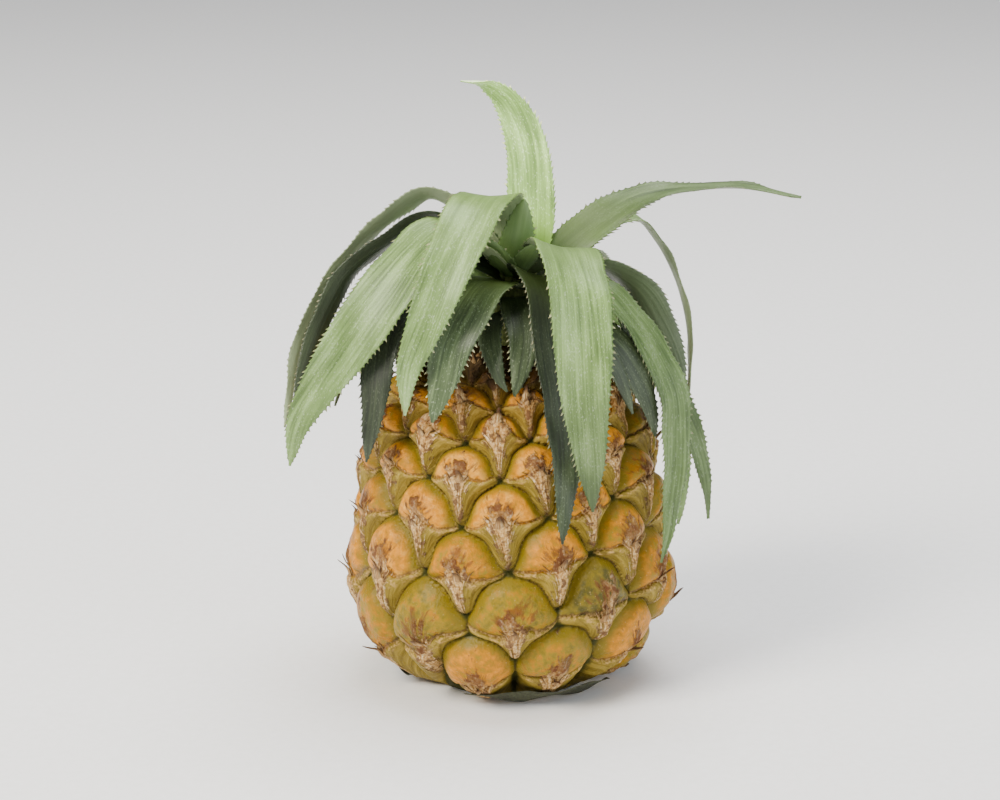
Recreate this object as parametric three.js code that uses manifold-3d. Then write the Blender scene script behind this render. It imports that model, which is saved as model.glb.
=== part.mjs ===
// A small whole pineapple with its leafy crown, standing on its cut base.
// Millimetres, +Z up. The origin is the centre of the flat base, and the best side faces -Y.
import * as THREE from "three";
import Module from "manifold-3d";

const wasm = await Module();
wasm.setup();
const { Manifold, Mesh: SolidMesh } = wasm;

// Driving dimensions of the fruit
const BELLY_RADIUS = 48.4;
const BELLY_HEIGHT = 34;
const LOWER_REACH = 39;
const LOWER_ROUNDNESS = 2.1;
const UPPER_REACH = 74;
const UPPER_ROUNDNESS = 3;
const UPPER_TAPER = 0.09;
const TOP_HEIGHT = 107;

// The fruitlets stand on a spiral: 8 rows lean one way and 13 the other
const DIVERGENCE = 137.29;
const FIRST_TURN = -3;
const ROWS_STEEP = 8;
const ROWS_FLAT = 13;
const FIRST_REACH = 72.7;
const RISE = 1.26;
const RISE_CLOSING = 0.0066;
const ROW_TILT = 8.5;
const LAST_FRUITLET = 45;
const SIDES_PER_FRUITLET = 5;
const RELIEF = 3.6;
const DOME_POWER = 1.7;
const DOME_OFFSET = 0.5;
const DEEPEST_GROOVE = 0.15;
const GROOVE_POWER = 2.6;

// The spiny tip of each fruitlet's bract
const TIP_FIRST_REACH = 13;
const TIP_LENGTH = 3.8;
const TIP_LENGTH_CROWN = 9;
const TIP_RADIUS = 1.7;
const TIP_ROOT = 1.6;

// The cut stem, the leaf stubs under the fruit and the stem of the crown
const GAP = 0.35;
const STEM_RADIUS = 11;
const STEM_DEPTH = 5;
const CROWN_STEM_RADIUS = 13;
const CROWN_STEM_TOP = 132;
const STUB_REACH = 10.5;
const STUB_LIFT = 2.2;
const STUB_THICKNESS = 1.2;

// The crown's leaves
const BLADE_THICKNESS = 1.5;
const BLADE_TIP_THICKNESS = 1.1;
const MARGIN_THICKNESS = 0.7;
const CHANNEL = 0.09;
const TOOTH_PITCH = 10;
const CLEARANCE_PITCH = 7;
const LEAF_GAP = 0.5;
const BASE_SHARE = 0.6;
const TOOTH_REACH = 0.9;

const COLOURS = {
  rind: 0xb98a3c,
  cutStem: 0xcbb98a,
  stub: 0x4f5f2c,
  crownStem: 0x6f7f3e,
  blade: 0x8f9f74,
  bladeShaded: 0x56664a,
  heart: 0x7f9a45,
};

const radians = (degrees) => (degrees * Math.PI) / 180;
const clamp = (value, low, high) => Math.min(high, Math.max(low, value));
const smooth = (x) => {
  const t = clamp(x, 0, 1);
  return t * t * (3 - 2 * t);
};

// Radius of the fruit's mean surface at a height: two superellipses that meet at the belly
function fruitRadius(height) {
  if (height < BELLY_HEIGHT) {
    const drop = clamp((BELLY_HEIGHT - height) / LOWER_REACH, 0, 1);
    return BELLY_RADIUS * (1 - drop ** LOWER_ROUNDNESS) ** (1 / LOWER_ROUNDNESS);
  }
  const rise = clamp((height - BELLY_HEIGHT) / UPPER_REACH, 0, 1);
  const cone = BELLY_RADIUS - UPPER_TAPER * (height - BELLY_HEIGHT);
  return cone * (1 - rise ** UPPER_ROUNDNESS) ** (1 / UPPER_ROUNDNESS);
}

// The profile as points with the length of wall below each one
function fruitProfile() {
  const steps = 600;
  const points = [];
  let reach = 0;
  for (let i = 0; i <= steps; i += 1) {
    const height = (TOP_HEIGHT * i) / steps;
    const radius = fruitRadius(height);
    if (i > 0) {
      const below = points[i - 1];
      reach += Math.hypot(height - below.height, radius - below.radius);
    }
    points.push({ height, radius, reach });
  }
  return points;
}

const PROFILE = fruitProfile();
const WALL_LENGTH = PROFILE[PROFILE.length - 1].reach;

// Point and outward slope of the profile at a length of wall from the base
function profileAt(reach) {
  const wanted = clamp(reach, 0, WALL_LENGTH);
  let low = 0;
  let high = PROFILE.length - 1;
  while (high - low > 1) {
    const middle = (low + high) >> 1;
    if (PROFILE[middle].reach <= wanted) low = middle;
    else high = middle;
  }
  const a = PROFILE[low];
  const b = PROFILE[high];
  const part = (wanted - a.reach) / (b.reach - a.reach);
  const run = b.reach - a.reach;
  return {
    radius: a.radius + part * (b.radius - a.radius),
    height: a.height + part * (b.height - a.height),
    out: (b.height - a.height) / run,
    up: -(b.radius - a.radius) / run,
  };
}

// A place in the lattice of fruitlets: its turn round the axis and its length of wall
const TURN_STEEP = ROWS_STEEP * DIVERGENCE - 3 * 360;
const TURN_FLAT = ROWS_FLAT * DIVERGENCE - 5 * 360;
const fruitletIndex = (p, q) => -ROWS_STEEP * p - ROWS_FLAT * q;

function latticePlace(p, q) {
  const index = fruitletIndex(p, q);
  const turn = radians(FIRST_TURN + p * TURN_STEEP + q * TURN_FLAT);
  const level = FIRST_REACH + RISE * index - RISE_CLOSING * index * index;
  const tilt = ROW_TILT * Math.sin((Math.PI * clamp(level, 0, WALL_LENGTH)) / WALL_LENGTH);
  return { turn, reach: clamp(level - tilt * Math.sin(turn), 0, WALL_LENGTH) };
}

// Height of a fruitlet over the grooves round it, fading out at the base and under the crown
function fruitletRelief(p, q, reach) {
  const across = Math.abs(2 * (p - Math.round(p)));
  const along = Math.abs(2 * (q - Math.round(q)));
  const round = (across ** GROOVE_POWER + along ** GROOVE_POWER) ** (1 / GROOVE_POWER);
  const dome = Math.max(1 - round ** DOME_POWER, -DEEPEST_GROOVE) - DOME_OFFSET;
  const fade = smooth(reach / 14) * smooth((WALL_LENGTH - reach) / 16);
  return RELIEF * dome * fade;
}

function wallPoint(turn, reach, lift) {
  const place = profileAt(reach);
  const radius = place.radius + lift * place.out;
  const height = place.height + lift * place.up;
  return new THREE.Vector3(radius * Math.sin(turn), -radius * Math.cos(turn), height);
}

// Solids from points and triangles, and back to a mesh of the scene
function solidFrom(points, triangles) {
  const vertProperties = new Float32Array(points.flatMap((point) => [point.x, point.y, point.z]));
  const triVerts = new Uint32Array(triangles.flat());
  return new Manifold(new SolidMesh({ numProp: 3, vertProperties, triVerts }));
}

function largestBody(solid) {
  const bodies = solid.decompose();
  return bodies.reduce((best, body) => (body.volume() > best.volume() ? body : best));
}

function meshFrom(solid, name, colour, roughness) {
  const data = solid.getMesh();
  const positions = [];
  for (let i = 0; i < data.vertProperties.length; i += data.numProp) {
    positions.push(...data.vertProperties.slice(i, i + 3));
  }
  const geometry = new THREE.BufferGeometry();
  geometry.setAttribute("position", new THREE.Float32BufferAttribute(positions, 3));
  geometry.setIndex(Array.from(data.triVerts));
  geometry.computeVertexNormals();
  const material = new THREE.MeshStandardMaterial({ color: colour, roughness, metalness: 0 });
  const mesh = new THREE.Mesh(geometry, material);
  mesh.name = name;
  return mesh;
}

// The fruit's skin on a grid that runs along both families of spiral rows. A triangle past the
// first or last row is left out, and each open rim is closed to a point on the axis.
function fruitSkin(grow) {
  const k = SIDES_PER_FRUITLET;
  const lowest = indexAtLevel(0);
  const points = [];
  const keys = new Map();
  const rimOf = [];

  const vertex = (i, j) => {
    const turns = Math.floor(i / (ROWS_FLAT * k));
    const column = i - turns * ROWS_FLAT * k;
    const row = j + turns * ROWS_STEEP * k;
    const key = `${column},${row}`;
    if (keys.has(key)) return keys.get(key);
    const p = column / k;
    const q = row / k;
    const index = fruitletIndex(p, q);
    const place = latticePlace(p, q);
    let point = wallPoint(place.turn, place.reach, fruitletRelief(p, q, place.reach) + grow);
    let rim = 0;
    if (index <= lowest) {
      point = wallPoint(place.turn, 0, 0);
      point.setLength(point.length() + grow);
      point.z = -grow;
      rim = -1;
    } else if (index >= LAST_FRUITLET) {
      point = wallPoint(place.turn, WALL_LENGTH, 0);
      point.z += grow;
      rim = 1;
    }
    keys.set(key, points.length);
    points.push(point);
    rimOf.push(rim);
    return points.length - 1;
  };

  const triangles = [];
  const addTriangle = (a, b, c) => {
    const ends = [rimOf[a], rimOf[b], rimOf[c]];
    const allOnOneRim = ends[0] !== 0 && ends[0] === ends[1] && ends[1] === ends[2];
    if (!allOnOneRim) triangles.push([a, b, c]);
  };
  for (let i = 0; i < ROWS_FLAT * k; i += 1) {
    const first = Math.floor((-LAST_FRUITLET * k - ROWS_STEEP * i) / ROWS_FLAT) - 3;
    const last = Math.ceil((-lowest * k - ROWS_STEEP * i) / ROWS_FLAT) + 3;
    for (let j = first; j <= last; j += 1) {
      const a = vertex(i, j - 1);
      const b = vertex(i + 1, j - 1);
      const c = vertex(i + 1, j);
      const d = vertex(i, j);
      addTriangle(a, d, b);
      addTriangle(b, d, c);
    }
  }
  closeRim(points, triangles);
  return solidFrom(points, triangles);
}

// The index at which the spiral reaches a length of wall, on the rising half of its parabola
function indexAtLevel(level) {
  const inside = RISE * RISE - 4 * RISE_CLOSING * (level - FIRST_REACH);
  return (RISE - Math.sqrt(inside)) / (2 * RISE_CLOSING);
}

// Joins each edge that has no neighbour to a point on the axis at its own height
function closeRim(points, triangles) {
  const edges = new Map();
  for (const [a, b, c] of triangles) {
    for (const [from, to] of [[a, b], [b, c], [c, a]]) edges.set(`${from}_${to}`, [from, to]);
  }
  const poles = new Map();
  for (const [from, to] of [...edges.values()]) {
    if (edges.has(`${to}_${from}`)) continue;
    const side = points[from].z > TOP_HEIGHT / 2 ? "top" : "base";
    if (!poles.has(side)) {
      poles.set(side, points.length);
      points.push(new THREE.Vector3(0, 0, points[from].z));
    }
    triangles.push([to, from, poles.get(side)]);
  }
}

// One spiny tip: a slim pyramid that leans up the wall from the middle of its fruitlet
function bractTip(p, q, grow) {
  const place = latticePlace(p, q);
  const along = place.reach / WALL_LENGTH;
  const length = TIP_LENGTH + (TIP_LENGTH_CROWN - TIP_LENGTH) * smooth((along - 0.7) / 0.3);
  const root = wallPoint(place.turn, place.reach, RELIEF * DOME_OFFSET - TIP_ROOT);
  const near = wallPoint(place.turn, place.reach, RELIEF * DOME_OFFSET);
  const above = wallPoint(place.turn, place.reach + 2, RELIEF * DOME_OFFSET);
  const outward = near.clone().sub(root).normalize();
  const upward = above.sub(near).normalize();
  const lean = outward.multiplyScalar(0.8).addScaledVector(upward, 0.75).normalize();
  const cone = new THREE.ConeGeometry(TIP_RADIUS + grow, length + TIP_ROOT + 2 * grow, 3);
  cone.translate(0, (length + TIP_ROOT) / 2, 0);
  const turn = new THREE.Quaternion().setFromUnitVectors(new THREE.Vector3(0, 1, 0), lean);
  cone.applyQuaternion(turn);
  cone.translate(root.x, root.y, root.z);
  return solidFromGeometry(cone);
}

// A three.js geometry as a solid, with its points joined by place
function solidFromGeometry(geometry) {
  const position = geometry.getAttribute("position");
  const index = geometry.getIndex();
  const points = [];
  const seen = new Map();
  const vertexOf = [];
  for (let i = 0; i < position.count; i += 1) {
    const point = new THREE.Vector3().fromBufferAttribute(position, i);
    const key = point.toArray().map((value) => Math.round(value * 1e4)).join(",");
    if (!seen.has(key)) {
      seen.set(key, points.length);
      points.push(point);
    }
    vertexOf.push(seen.get(key));
  }
  const triangles = [];
  for (let i = 0; i < index.count; i += 3) {
    const corners = [0, 1, 2].map((step) => vertexOf[index.getX(i + step)]);
    if (new Set(corners).size === 3) triangles.push(corners);
  }
  return solidFrom(points, triangles);
}

// Every fruitlet that has a tip, from the first above the base to the last under the crown
function fruitlets() {
  const list = [];
  for (let p = -20; p <= 20; p += 1) {
    for (let q = -20; q <= 20; q += 1) {
      const index = fruitletIndex(p, q);
      const turn = FIRST_TURN + p * TURN_STEEP + q * TURN_FLAT;
      const place = latticePlace(p, q);
      const inRange = place.reach > TIP_FIRST_REACH && index < LAST_FRUITLET - 1;
      if (turn >= -180 && turn < 180 && inRange) list.push([p, q]);
    }
  }
  return list;
}

function buildFruit(grow) {
  const tips = fruitlets().map(([p, q]) => bractTip(p, q, grow));
  return Manifold.union([fruitSkin(grow), ...tips]);
}

// A disc or a turned piece about the axis
function turned(outline, sides) {
  const profile = outline.map(([radius, height]) => new THREE.Vector2(radius, height));
  return solidFromGeometry(new THREE.LatheGeometry(profile, sides).rotateX(Math.PI / 2));
}

// The cut end of the stem that carried the fruit, let into the base
function cutStemOutline(grow) {
  const radius = STEM_RADIUS + grow;
  return [[0, -grow], [radius, -grow], [radius - 0.6, STEM_DEPTH + grow], [0, STEM_DEPTH + grow]];
}

// The short woody stem of the crown, on which the leaves sit
function crownStemOutline(grow) {
  const foot = TOP_HEIGHT + GAP - grow;
  return [
    [0, foot],
    [CROWN_STEM_RADIUS + grow, foot],
    [CROWN_STEM_RADIUS - 1 + grow, 113],
    [10 + grow, 119],
    [7.5 + grow, 124],
    [4.5 + grow, 129],
    [0, CROWN_STEM_TOP + grow],
  ];
}

// A strip along a route. Each ring has a left margin, a midrib and a right margin, each with an
// upper and a lower point, and the channel lifts the margins over the midrib.
function strip(rings) {
  const points = [];
  const triangles = [];
  for (const { centre, tangent, side, halfWidth, thickness, margin } of rings) {
    const face = new THREE.Vector3().crossVectors(tangent, side);
    for (const across of [-1, 0, 1]) {
      const lift = across === 0 ? 0 : CHANNEL * 2 * halfWidth;
      const half = (across === 0 ? thickness : margin) / 2;
      for (const level of [half, -half]) {
        const point = centre.clone().addScaledVector(side, across * halfWidth);
        points.push(point.addScaledVector(face, lift + level));
      }
    }
  }
  const loop = [0, 2, 4, 5, 3, 1];
  const corner = (ring, place) => ring * 6 + loop[place % 6];
  for (let ring = 0; ring < rings.length - 1; ring += 1) {
    for (let place = 0; place < 6; place += 1) {
      const a = corner(ring, place);
      const b = corner(ring, place + 1);
      const c = corner(ring + 1, place + 1);
      const d = corner(ring + 1, place);
      triangles.push([a, c, b], [a, d, c]);
    }
  }
  const end = rings.length - 1;
  const caps = [[0, 1, 2], [0, 2, 3], [0, 3, 5], [3, 4, 5]];
  for (const [a, b, c] of caps) {
    triangles.push([corner(0, a), corner(0, b), corner(0, c)]);
    triangles.push([corner(end, a), corner(end, c), corner(end, b)]);
  }
  return solidFrom(points, triangles);
}

// Share of the full width along the leaf: a clasping base, then a long taper to the tip
function bladeWidth(t) {
  const opening = Math.sin((clamp(t / 0.3, 0, 1) * Math.PI) / 2);
  const base = BASE_SHARE + (1 - BASE_SHARE) * opening;
  return base * (1 - t ** 2.2) ** 0.8;
}

const mix = (values, t) => {
  const place = clamp(t, 0, 1) * (values.length - 1);
  const low = Math.min(Math.floor(place), values.length - 2);
  return values[low] + (place - low) * (values[low + 1] - values[low]);
};

// Places along a leaf: the root, then the valley and the point of each tooth, then the tip
function toothStations(length) {
  const teeth = Math.max(3, Math.round(length / TOOTH_PITCH));
  const stations = [0];
  for (let tooth = 0; tooth < teeth; tooth += 1) {
    if (tooth > 0) stations.push(tooth / teeth);
    stations.push((tooth + 0.72) / teeth);
  }
  return [...stations, 1];
}

function evenStations(length) {
  const steps = Math.max(4, Math.round(length / CLEARANCE_PITCH));
  return Array.from({ length: steps + 1 }, (_, step) => step / steps);
}

// One leaf as a strip along its midrib, with saw teeth on both margins. With grow it is a plain
// blade that much larger all round, which keeps the other leaves clear of it.
function buildLeaf(leaf, grow) {
  const route = leaf.route.map(([x, y, z]) => new THREE.Vector3(x, y, z));
  const curve = new THREE.CatmullRomCurve3(route, false, "centripetal");
  curve.arcLengthDivisions = 400;
  const length = curve.getLength();
  const facing = radians(leaf.face);
  const across = new THREE.Vector3(-Math.sin(facing), Math.cos(facing), 0);
  const stations = grow > 0 ? evenStations(length) : toothStations(length);
  const rings = stations.map((t, number) => {
    const tangent = curve.getTangentAt(t);
    const flat = across.clone().addScaledVector(tangent, -across.dot(tangent)).normalize();
    const roll = radians(mix(leaf.roll, t));
    const up = new THREE.Vector3().crossVectors(tangent, flat);
    const side = flat.clone().multiplyScalar(Math.cos(roll)).addScaledVector(up, Math.sin(roll));
    const share = bladeWidth(t);
    const isTooth = number % 2 === 1 && number < stations.length - 1;
    const reach = grow > 0 ? TOOTH_REACH + grow : isTooth ? TOOTH_REACH * Math.min(1, share * 2) : 0;
    const thickness = BLADE_THICKNESS + (BLADE_TIP_THICKNESS - BLADE_THICKNESS) * t;
    return {
      centre: curve.getPointAt(t),
      tangent,
      side,
      halfWidth: Math.max((leaf.width / 2) * share, 0.5) + reach,
      thickness: thickness + 2 * grow,
      margin: MARGIN_THICKNESS + 2 * grow,
    };
  });
  return strip(rings);
}

// The crown's leaves. face is the side of the axis the blade looks out from, in degrees from +X;
// roll turns it about its midrib, from root to tip; route is the midrib.
const LEAVES = [
  {
    name: "leaf_heart",
    face: -90,
    width: 11,
    roll: [0, 0, 0, 0],
    route: [[1, -3, 130], [1, -5, 134], [2, -6, 139], [3, -6, 145], [4, -6, 151]],
  },
  {
    name: "leaf_heart_left",
    face: -140,
    width: 9,
    roll: [10, 20, 25, 20],
    route: [[-1, -7, 128], [-3, -11, 133], [-6, -14, 138], [-9, -15, 141]],
  },
  {
    name: "leaf_heart_right",
    face: -50,
    width: 8.5,
    roll: [-10, -15, -20, -20],
    route: [[2, -7, 128], [4, -11, 133], [6, -14, 137], [9, -15, 140]],
  },
  {
    name: "leaf_heart_back",
    face: 80,
    width: 10,
    roll: [0, 0, 0, 0],
    route: [[1, 4, 130], [1, 6, 136], [0, 8, 142], [-1, 11, 147]],
  },
  {
    name: "leaf_tall",
    face: 90,
    width: 15,
    roll: [0, 0, 0, 0],
    route: [[5, 5, 128], [6, 9, 137], [6, 12, 149], [5, 14, 162], [2, 14, 172], [-2, 12, 179],
      [-7, 9, 183], [-15, 5, 185]],
  },
  {
    name: "leaf_right_long",
    face: 30,
    width: 13,
    roll: [40, 30, -5, 25],
    route: [[5, 2, 127], [12, 5, 130], [23, 9, 138], [38, 12, 147], [55, 12, 150.5],
      [71, 10, 151.5], [88, 6, 149]],
  },
  {
    name: "leaf_front_wide",
    face: -70,
    width: 22,
    roll: [-10, -15, 20, 15],
    route: [[9, -1, 127], [12, -8, 134], [15, -19, 138.5], [17, -31, 137.5], [19, -40, 131.5],
      [20.5, -46, 118], [21.5, -49, 101], [23, -49, 83], [24, -47, 66]],
  },
  {
    name: "leaf_left_fold",
    face: -100,
    width: 19,
    roll: [0, 0, -8, -5],
    route: [[-2, 3, 131], [-3, 3, 141], [-5, -1, 149], [-7, -10, 152], [-10, -20, 151],
      [-14, -29, 145], [-19, -37, 135], [-25, -42, 121], [-30, -43, 107], [-31, -42, 94]],
  },
  {
    name: "leaf_left_wide",
    face: -145,
    width: 21,
    roll: [-5, -10, -55, -40],
    route: [[-2, -4, 128], [-11, -10, 138], [-19, -16, 143], [-28, -22, 137], [-38, -27, 125],
      [-48, -30, 112], [-57, -31, 99], [-63, -31, 88], [-66, -30, 75]],
  },
  {
    name: "leaf_left_outer",
    face: 165,
    width: 10.5,
    roll: [50, 30, 15, 40],
    route: [[-2, 4, 129], [-9, 6, 139], [-19, 8, 147], [-26, 9, 149], [-37, 8, 142],
      [-49, 6, 131], [-59, 2, 117], [-65, -2, 103], [-69, -6, 80]],
  },
  {
    name: "leaf_left_dark",
    face: 180,
    width: 12.5,
    roll: [10, 25, 50, 55],
    route: [[-2, 0, 128], [-12, -2, 139], [-24, -3, 145], [-36, -4, 138], [-48, -6, 129],
      [-56, -9, 116], [-62, -12, 101], [-66, -14, 87]],
  },
  {
    name: "leaf_front_behind",
    face: -75,
    width: 16,
    roll: [-20, -30, -15, 5],
    route: [[2, -6, 127], [5, -15, 130], [9, -25, 127], [11, -34, 115], [14, -40, 98],
      [16, -44, 78], [15, -50, 57]],
  },
  {
    name: "leaf_front_left",
    face: -120,
    width: 18,
    roll: [0, -5, -30, -20],
    route: [[0, -8, 125], [-4, -14, 127], [-9, -24, 127], [-14, -33, 121], [-18, -38, 113],
      [-20, -41, 104], [-23, -43, 92]],
  },
  {
    name: "leaf_low_left",
    face: -155,
    width: 15,
    roll: [-5, -15, -50, -50],
    route: [[-3, -5, 119], [-15, -15, 125], [-27, -21, 124], [-36, -24, 117], [-39, -27, 108],
      [-40, -30, 99], [-41, -32, 90], [-43, -33, 77]],
  },
  {
    name: "leaf_front_small",
    face: -85,
    width: 12,
    roll: [0, 5, 0, 0],
    route: [[1, -9, 120], [2, -14, 122], [3, -22, 120], [4, -29, 114], [3, -33, 107],
      [1, -36, 98]],
  },
  {
    name: "leaf_right_thin",
    face: 40,
    width: 9,
    roll: [-5, 15, 25, 25],
    route: [[3, 8, 126], [14, 18, 131], [26, 25, 136.5], [39, 28, 138],
      [45.5, 28, 131], [51, 27, 121], [54, 26, 112], [56, 25, 100], [56, 24, 89], [55, 23, 79]],
  },
  {
    name: "leaf_right_dark",
    face: 5,
    width: 15.5,
    roll: [-10, -25, -70, -65],
    route: [[3, 0, 124], [15, 1, 128.5], [28, 2, 128], [38, 3, 121.5], [45, 4, 110],
      [50, 5, 98], [53, 6, 84]],
  },
  {
    name: "leaf_right_curved",
    face: -25,
    width: 11.5,
    roll: [-20, 0, 45, 30],
    route: [[3, -5, 123], [14, -10, 128], [24, -13.5, 129.5],
      [30, -15.5, 123], [36, -17.5, 113], [42, -18.5, 104.5], [48.5, -19, 95], [54.5, -18, 82],
      [58.5, -17, 68.5], [60, -16, 54]],
  },
  {
    name: "leaf_right_low",
    face: -30,
    width: 13,
    roll: [0, 5, 40, 45],
    route: [[3, -7, 120], [15, -13, 125], [27, -18, 126], [36, -20, 117], [43, -23, 107],
      [48, -25, 96], [49, -26, 86], [49, -27, 75], [48, -28, 64], [47, -29, 53], [45, -31, 45]],
  },
  {
    name: "leaf_right_lower",
    face: -15,
    width: 12,
    roll: [0, 5, 40, 55],
    route: [[3, -3, 117], [18, -6, 118], [34, -8, 113], [45, -9, 100], [50, -10, 84],
      [52, -11, 71], [52, -12, 60], [51, -12, 51]],
  },
  {
    name: "leaf_right_inner",
    face: -30,
    width: 13,
    roll: [5, 10, 35, 40],
    route: [[2, -7, 113], [13, -17, 116], [23, -24, 116], [31, -26, 111], [37, -27, 102],
      [41, -27, 93], [43, -26, 83]],
  },
  {
    name: "leaf_right_short",
    face: -50,
    width: 9.5,
    roll: [0, 0, 10, 20],
    route: [[1, -8, 112], [9, -20, 114], [18, -29, 115], [26, -33, 111], [31, -34, 105],
      [34, -34, 98], [36, -33, 92]],
  },
  {
    name: "leaf_front_shaded",
    face: -110,
    width: 9,
    roll: [10, 15, 5, -5],
    route: [[-1, -9, 116], [-4, -17, 118], [-6, -24, 115], [-5, -30, 108], [-3, -33, 102],
      [-1, -34, 99]],
  },
  {
    name: "leaf_left_inner",
    face: 175,
    width: 12,
    roll: [-10, -15, -5, -5],
    route: [[-1, -2, 124], [-6, -4, 129], [-13, -6, 132], [-21, -8, 130], [-29, -10, 124]],
  },
  {
    name: "leaf_back_arched",
    face: 85,
    width: 13,
    roll: [0, 0, 0, 0],
    route: [[5, 9, 124], [8, 16, 130], [11, 24, 132], [12, 34, 131], [12, 43, 124],
      [11, 50, 112], [10, 54, 99], [9, 55, 88]],
  },
  {
    name: "leaf_back_right",
    face: 60,
    width: 15,
    roll: [0, 0, 0, 0],
    route: [[6, 8, 121], [14, 19, 127], [21, 30, 127], [26, 40, 121], [29, 46, 110],
      [30, 49, 96], [30, 50, 82]],
  },
  {
    name: "leaf_back_left",
    face: 115,
    width: 16,
    roll: [0, 0, 0, 0],
    route: [[-3, 8, 124], [-8, 18, 134], [-13, 29, 139], [-17, 39, 134], [-20, 46, 120],
      [-21, 50, 103], [-21, 51, 84]],
  },
  {
    name: "leaf_back_left_side",
    face: 145,
    width: 15,
    roll: [0, 0, 0, 0],
    route: [[-6, 5, 121], [-16, 12, 129], [-28, 20, 131], [-38, 26, 124], [-43, 30, 110],
      [-45, 32, 95], [-45, 32, 81]],
  },
  {
    name: "leaf_back_low",
    face: 95,
    width: 15,
    roll: [0, 0, 0, 0],
    route: [[-1, 10, 115], [-2, 22, 121], [-3, 34, 120], [-4, 43, 112], [-5, 49, 99],
      [-6, 52, 82]],
  },
  {
    name: "leaf_back_low_right",
    face: 35,
    width: 13,
    roll: [0, 0, 0, 0],
    route: [[8, 6, 115], [19, 13, 120], [31, 21, 117], [39, 27, 107], [43, 30, 94],
      [45, 31, 78]],
  },
  {
    name: "leaf_back_low_left",
    face: 130,
    width: 14,
    roll: [0, 0, 0, 0],
    route: [[-6, 8, 114], [-14, 17, 119], [-24, 28, 117], [-31, 36, 108], [-34, 40, 95],
      [-35, 41, 80]],
  },
  {
    name: "leaf_left_low_side",
    face: 175,
    width: 14,
    roll: [0, 0, 0, 0],
    route: [[-9, 1, 114], [-21, 2, 119], [-33, 4, 117], [-43, 5, 107], [-50, 5, 96],
      [-54, 4, 84]],
  },
  {
    name: "leaf_left_low_front",
    face: -160,
    width: 11,
    roll: [0, 0, -10, -10],
    route: [[-8, -4, 113], [-18, -8, 117], [-30, -12, 115], [-39, -16, 106], [-43, -18, 95]],
  },
];

// The stub of a leaf under the fruit: a short strip that runs round the base, an even way off it
function buildStub({ name, turn, width, rise }) {
  const steps = 10;
  const place = profileAt(STUB_REACH);
  const rings = [];
  for (let i = 0; i <= steps; i += 1) {
    const share = (2 * i) / steps - 1;
    const angle = radians(turn) + (share * width) / 2 / place.radius;
    const outward = new THREE.Vector3(Math.sin(angle), -Math.cos(angle), 0);
    const side = outward.clone().multiplyScalar(-place.up).setZ(place.out);
    const tangent = new THREE.Vector3(Math.cos(angle), Math.sin(angle), 0);
    const centre = wallPoint(angle, STUB_REACH, STUB_LIFT);
    const halfWidth = (rise / 2) * Math.sqrt(Math.max(1 - share * share, 0.06));
    rings.push({ centre, tangent, side, halfWidth, thickness: STUB_THICKNESS, margin: 0.8 });
  }
  return { name, solid: strip(rings) };
}

const STUBS = [
  { name: "base_leaf_front", turn: 17, width: 48, rise: 7 },
  { name: "base_leaf_left", turn: -88, width: 30, rise: 7 },
  { name: "base_leaf_back", turn: 172, width: 34, rise: 7 },
  { name: "base_leaf_right", turn: 96, width: 26, rise: 7 },
];

const SHADED = ["dark", "behind", "front_left", "low", "small", "inner", "short", "shaded"];
const leafColour = (name) => {
  if (name.includes("heart")) return COLOURS.heart;
  return SHADED.some((word) => name.includes(word)) ? COLOURS.bladeShaded : COLOURS.blade;
};

const pineapple = new THREE.Group();
pineapple.name = "pineapple";

const socket = turned(cutStemOutline(GAP), 20);
pineapple.add(meshFrom(buildFruit(0).subtract(socket), "fruit", COLOURS.rind, 0.55));
pineapple.add(meshFrom(turned(cutStemOutline(0), 20), "cut_stem", COLOURS.cutStem, 0.9));
pineapple.add(meshFrom(turned(crownStemOutline(0), 16), "crown_stem", COLOURS.crownStem, 0.8));

// Each leaf is cut back where it would reach into the stem, the fruit or a leaf before it
let taken = Manifold.union([buildFruit(GAP), turned(crownStemOutline(GAP), 16)]);
for (const leaf of LEAVES) {
  const solid = largestBody(buildLeaf(leaf, 0).subtract(taken));
  taken = taken.add(buildLeaf(leaf, LEAF_GAP));
  pineapple.add(meshFrom(solid, leaf.name, leafColour(leaf.name), 0.6));
}
for (const { name, solid } of STUBS.map(buildStub)) {
  pineapple.add(meshFrom(largestBody(solid.subtract(buildFruit(GAP))), name, COLOURS.stub, 0.7));
}

export default pineapple;
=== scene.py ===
"""A small whole pineapple with its leafy crown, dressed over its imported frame.

Lengths are millimetres until a mesh is made. A turn goes round the axis from the front, -Y,
towards +X, and the reach of a place on the rind is its length of wall from the edge of the base.
"""
import math

import bpy
import numpy as np
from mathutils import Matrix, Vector


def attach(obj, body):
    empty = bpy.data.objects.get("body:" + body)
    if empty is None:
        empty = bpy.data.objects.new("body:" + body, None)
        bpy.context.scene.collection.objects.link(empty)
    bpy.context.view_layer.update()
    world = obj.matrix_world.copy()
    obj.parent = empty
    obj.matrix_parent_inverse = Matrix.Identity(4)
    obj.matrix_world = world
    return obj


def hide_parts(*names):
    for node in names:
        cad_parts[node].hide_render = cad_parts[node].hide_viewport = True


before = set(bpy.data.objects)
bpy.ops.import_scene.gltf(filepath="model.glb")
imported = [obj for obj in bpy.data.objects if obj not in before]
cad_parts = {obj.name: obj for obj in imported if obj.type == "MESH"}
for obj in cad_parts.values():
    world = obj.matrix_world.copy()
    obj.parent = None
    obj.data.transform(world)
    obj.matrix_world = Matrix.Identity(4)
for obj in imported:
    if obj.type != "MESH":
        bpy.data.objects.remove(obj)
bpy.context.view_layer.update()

MM = 0.001

# The fruit's mean surface, as in the frame
BELLY_RADIUS = 48.4
BELLY_HEIGHT = 34
LOWER_REACH = 39
LOWER_ROUNDNESS = 2.1
UPPER_REACH = 74
UPPER_ROUNDNESS = 3
UPPER_TAPER = 0.09
TOP_HEIGHT = 107

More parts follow.
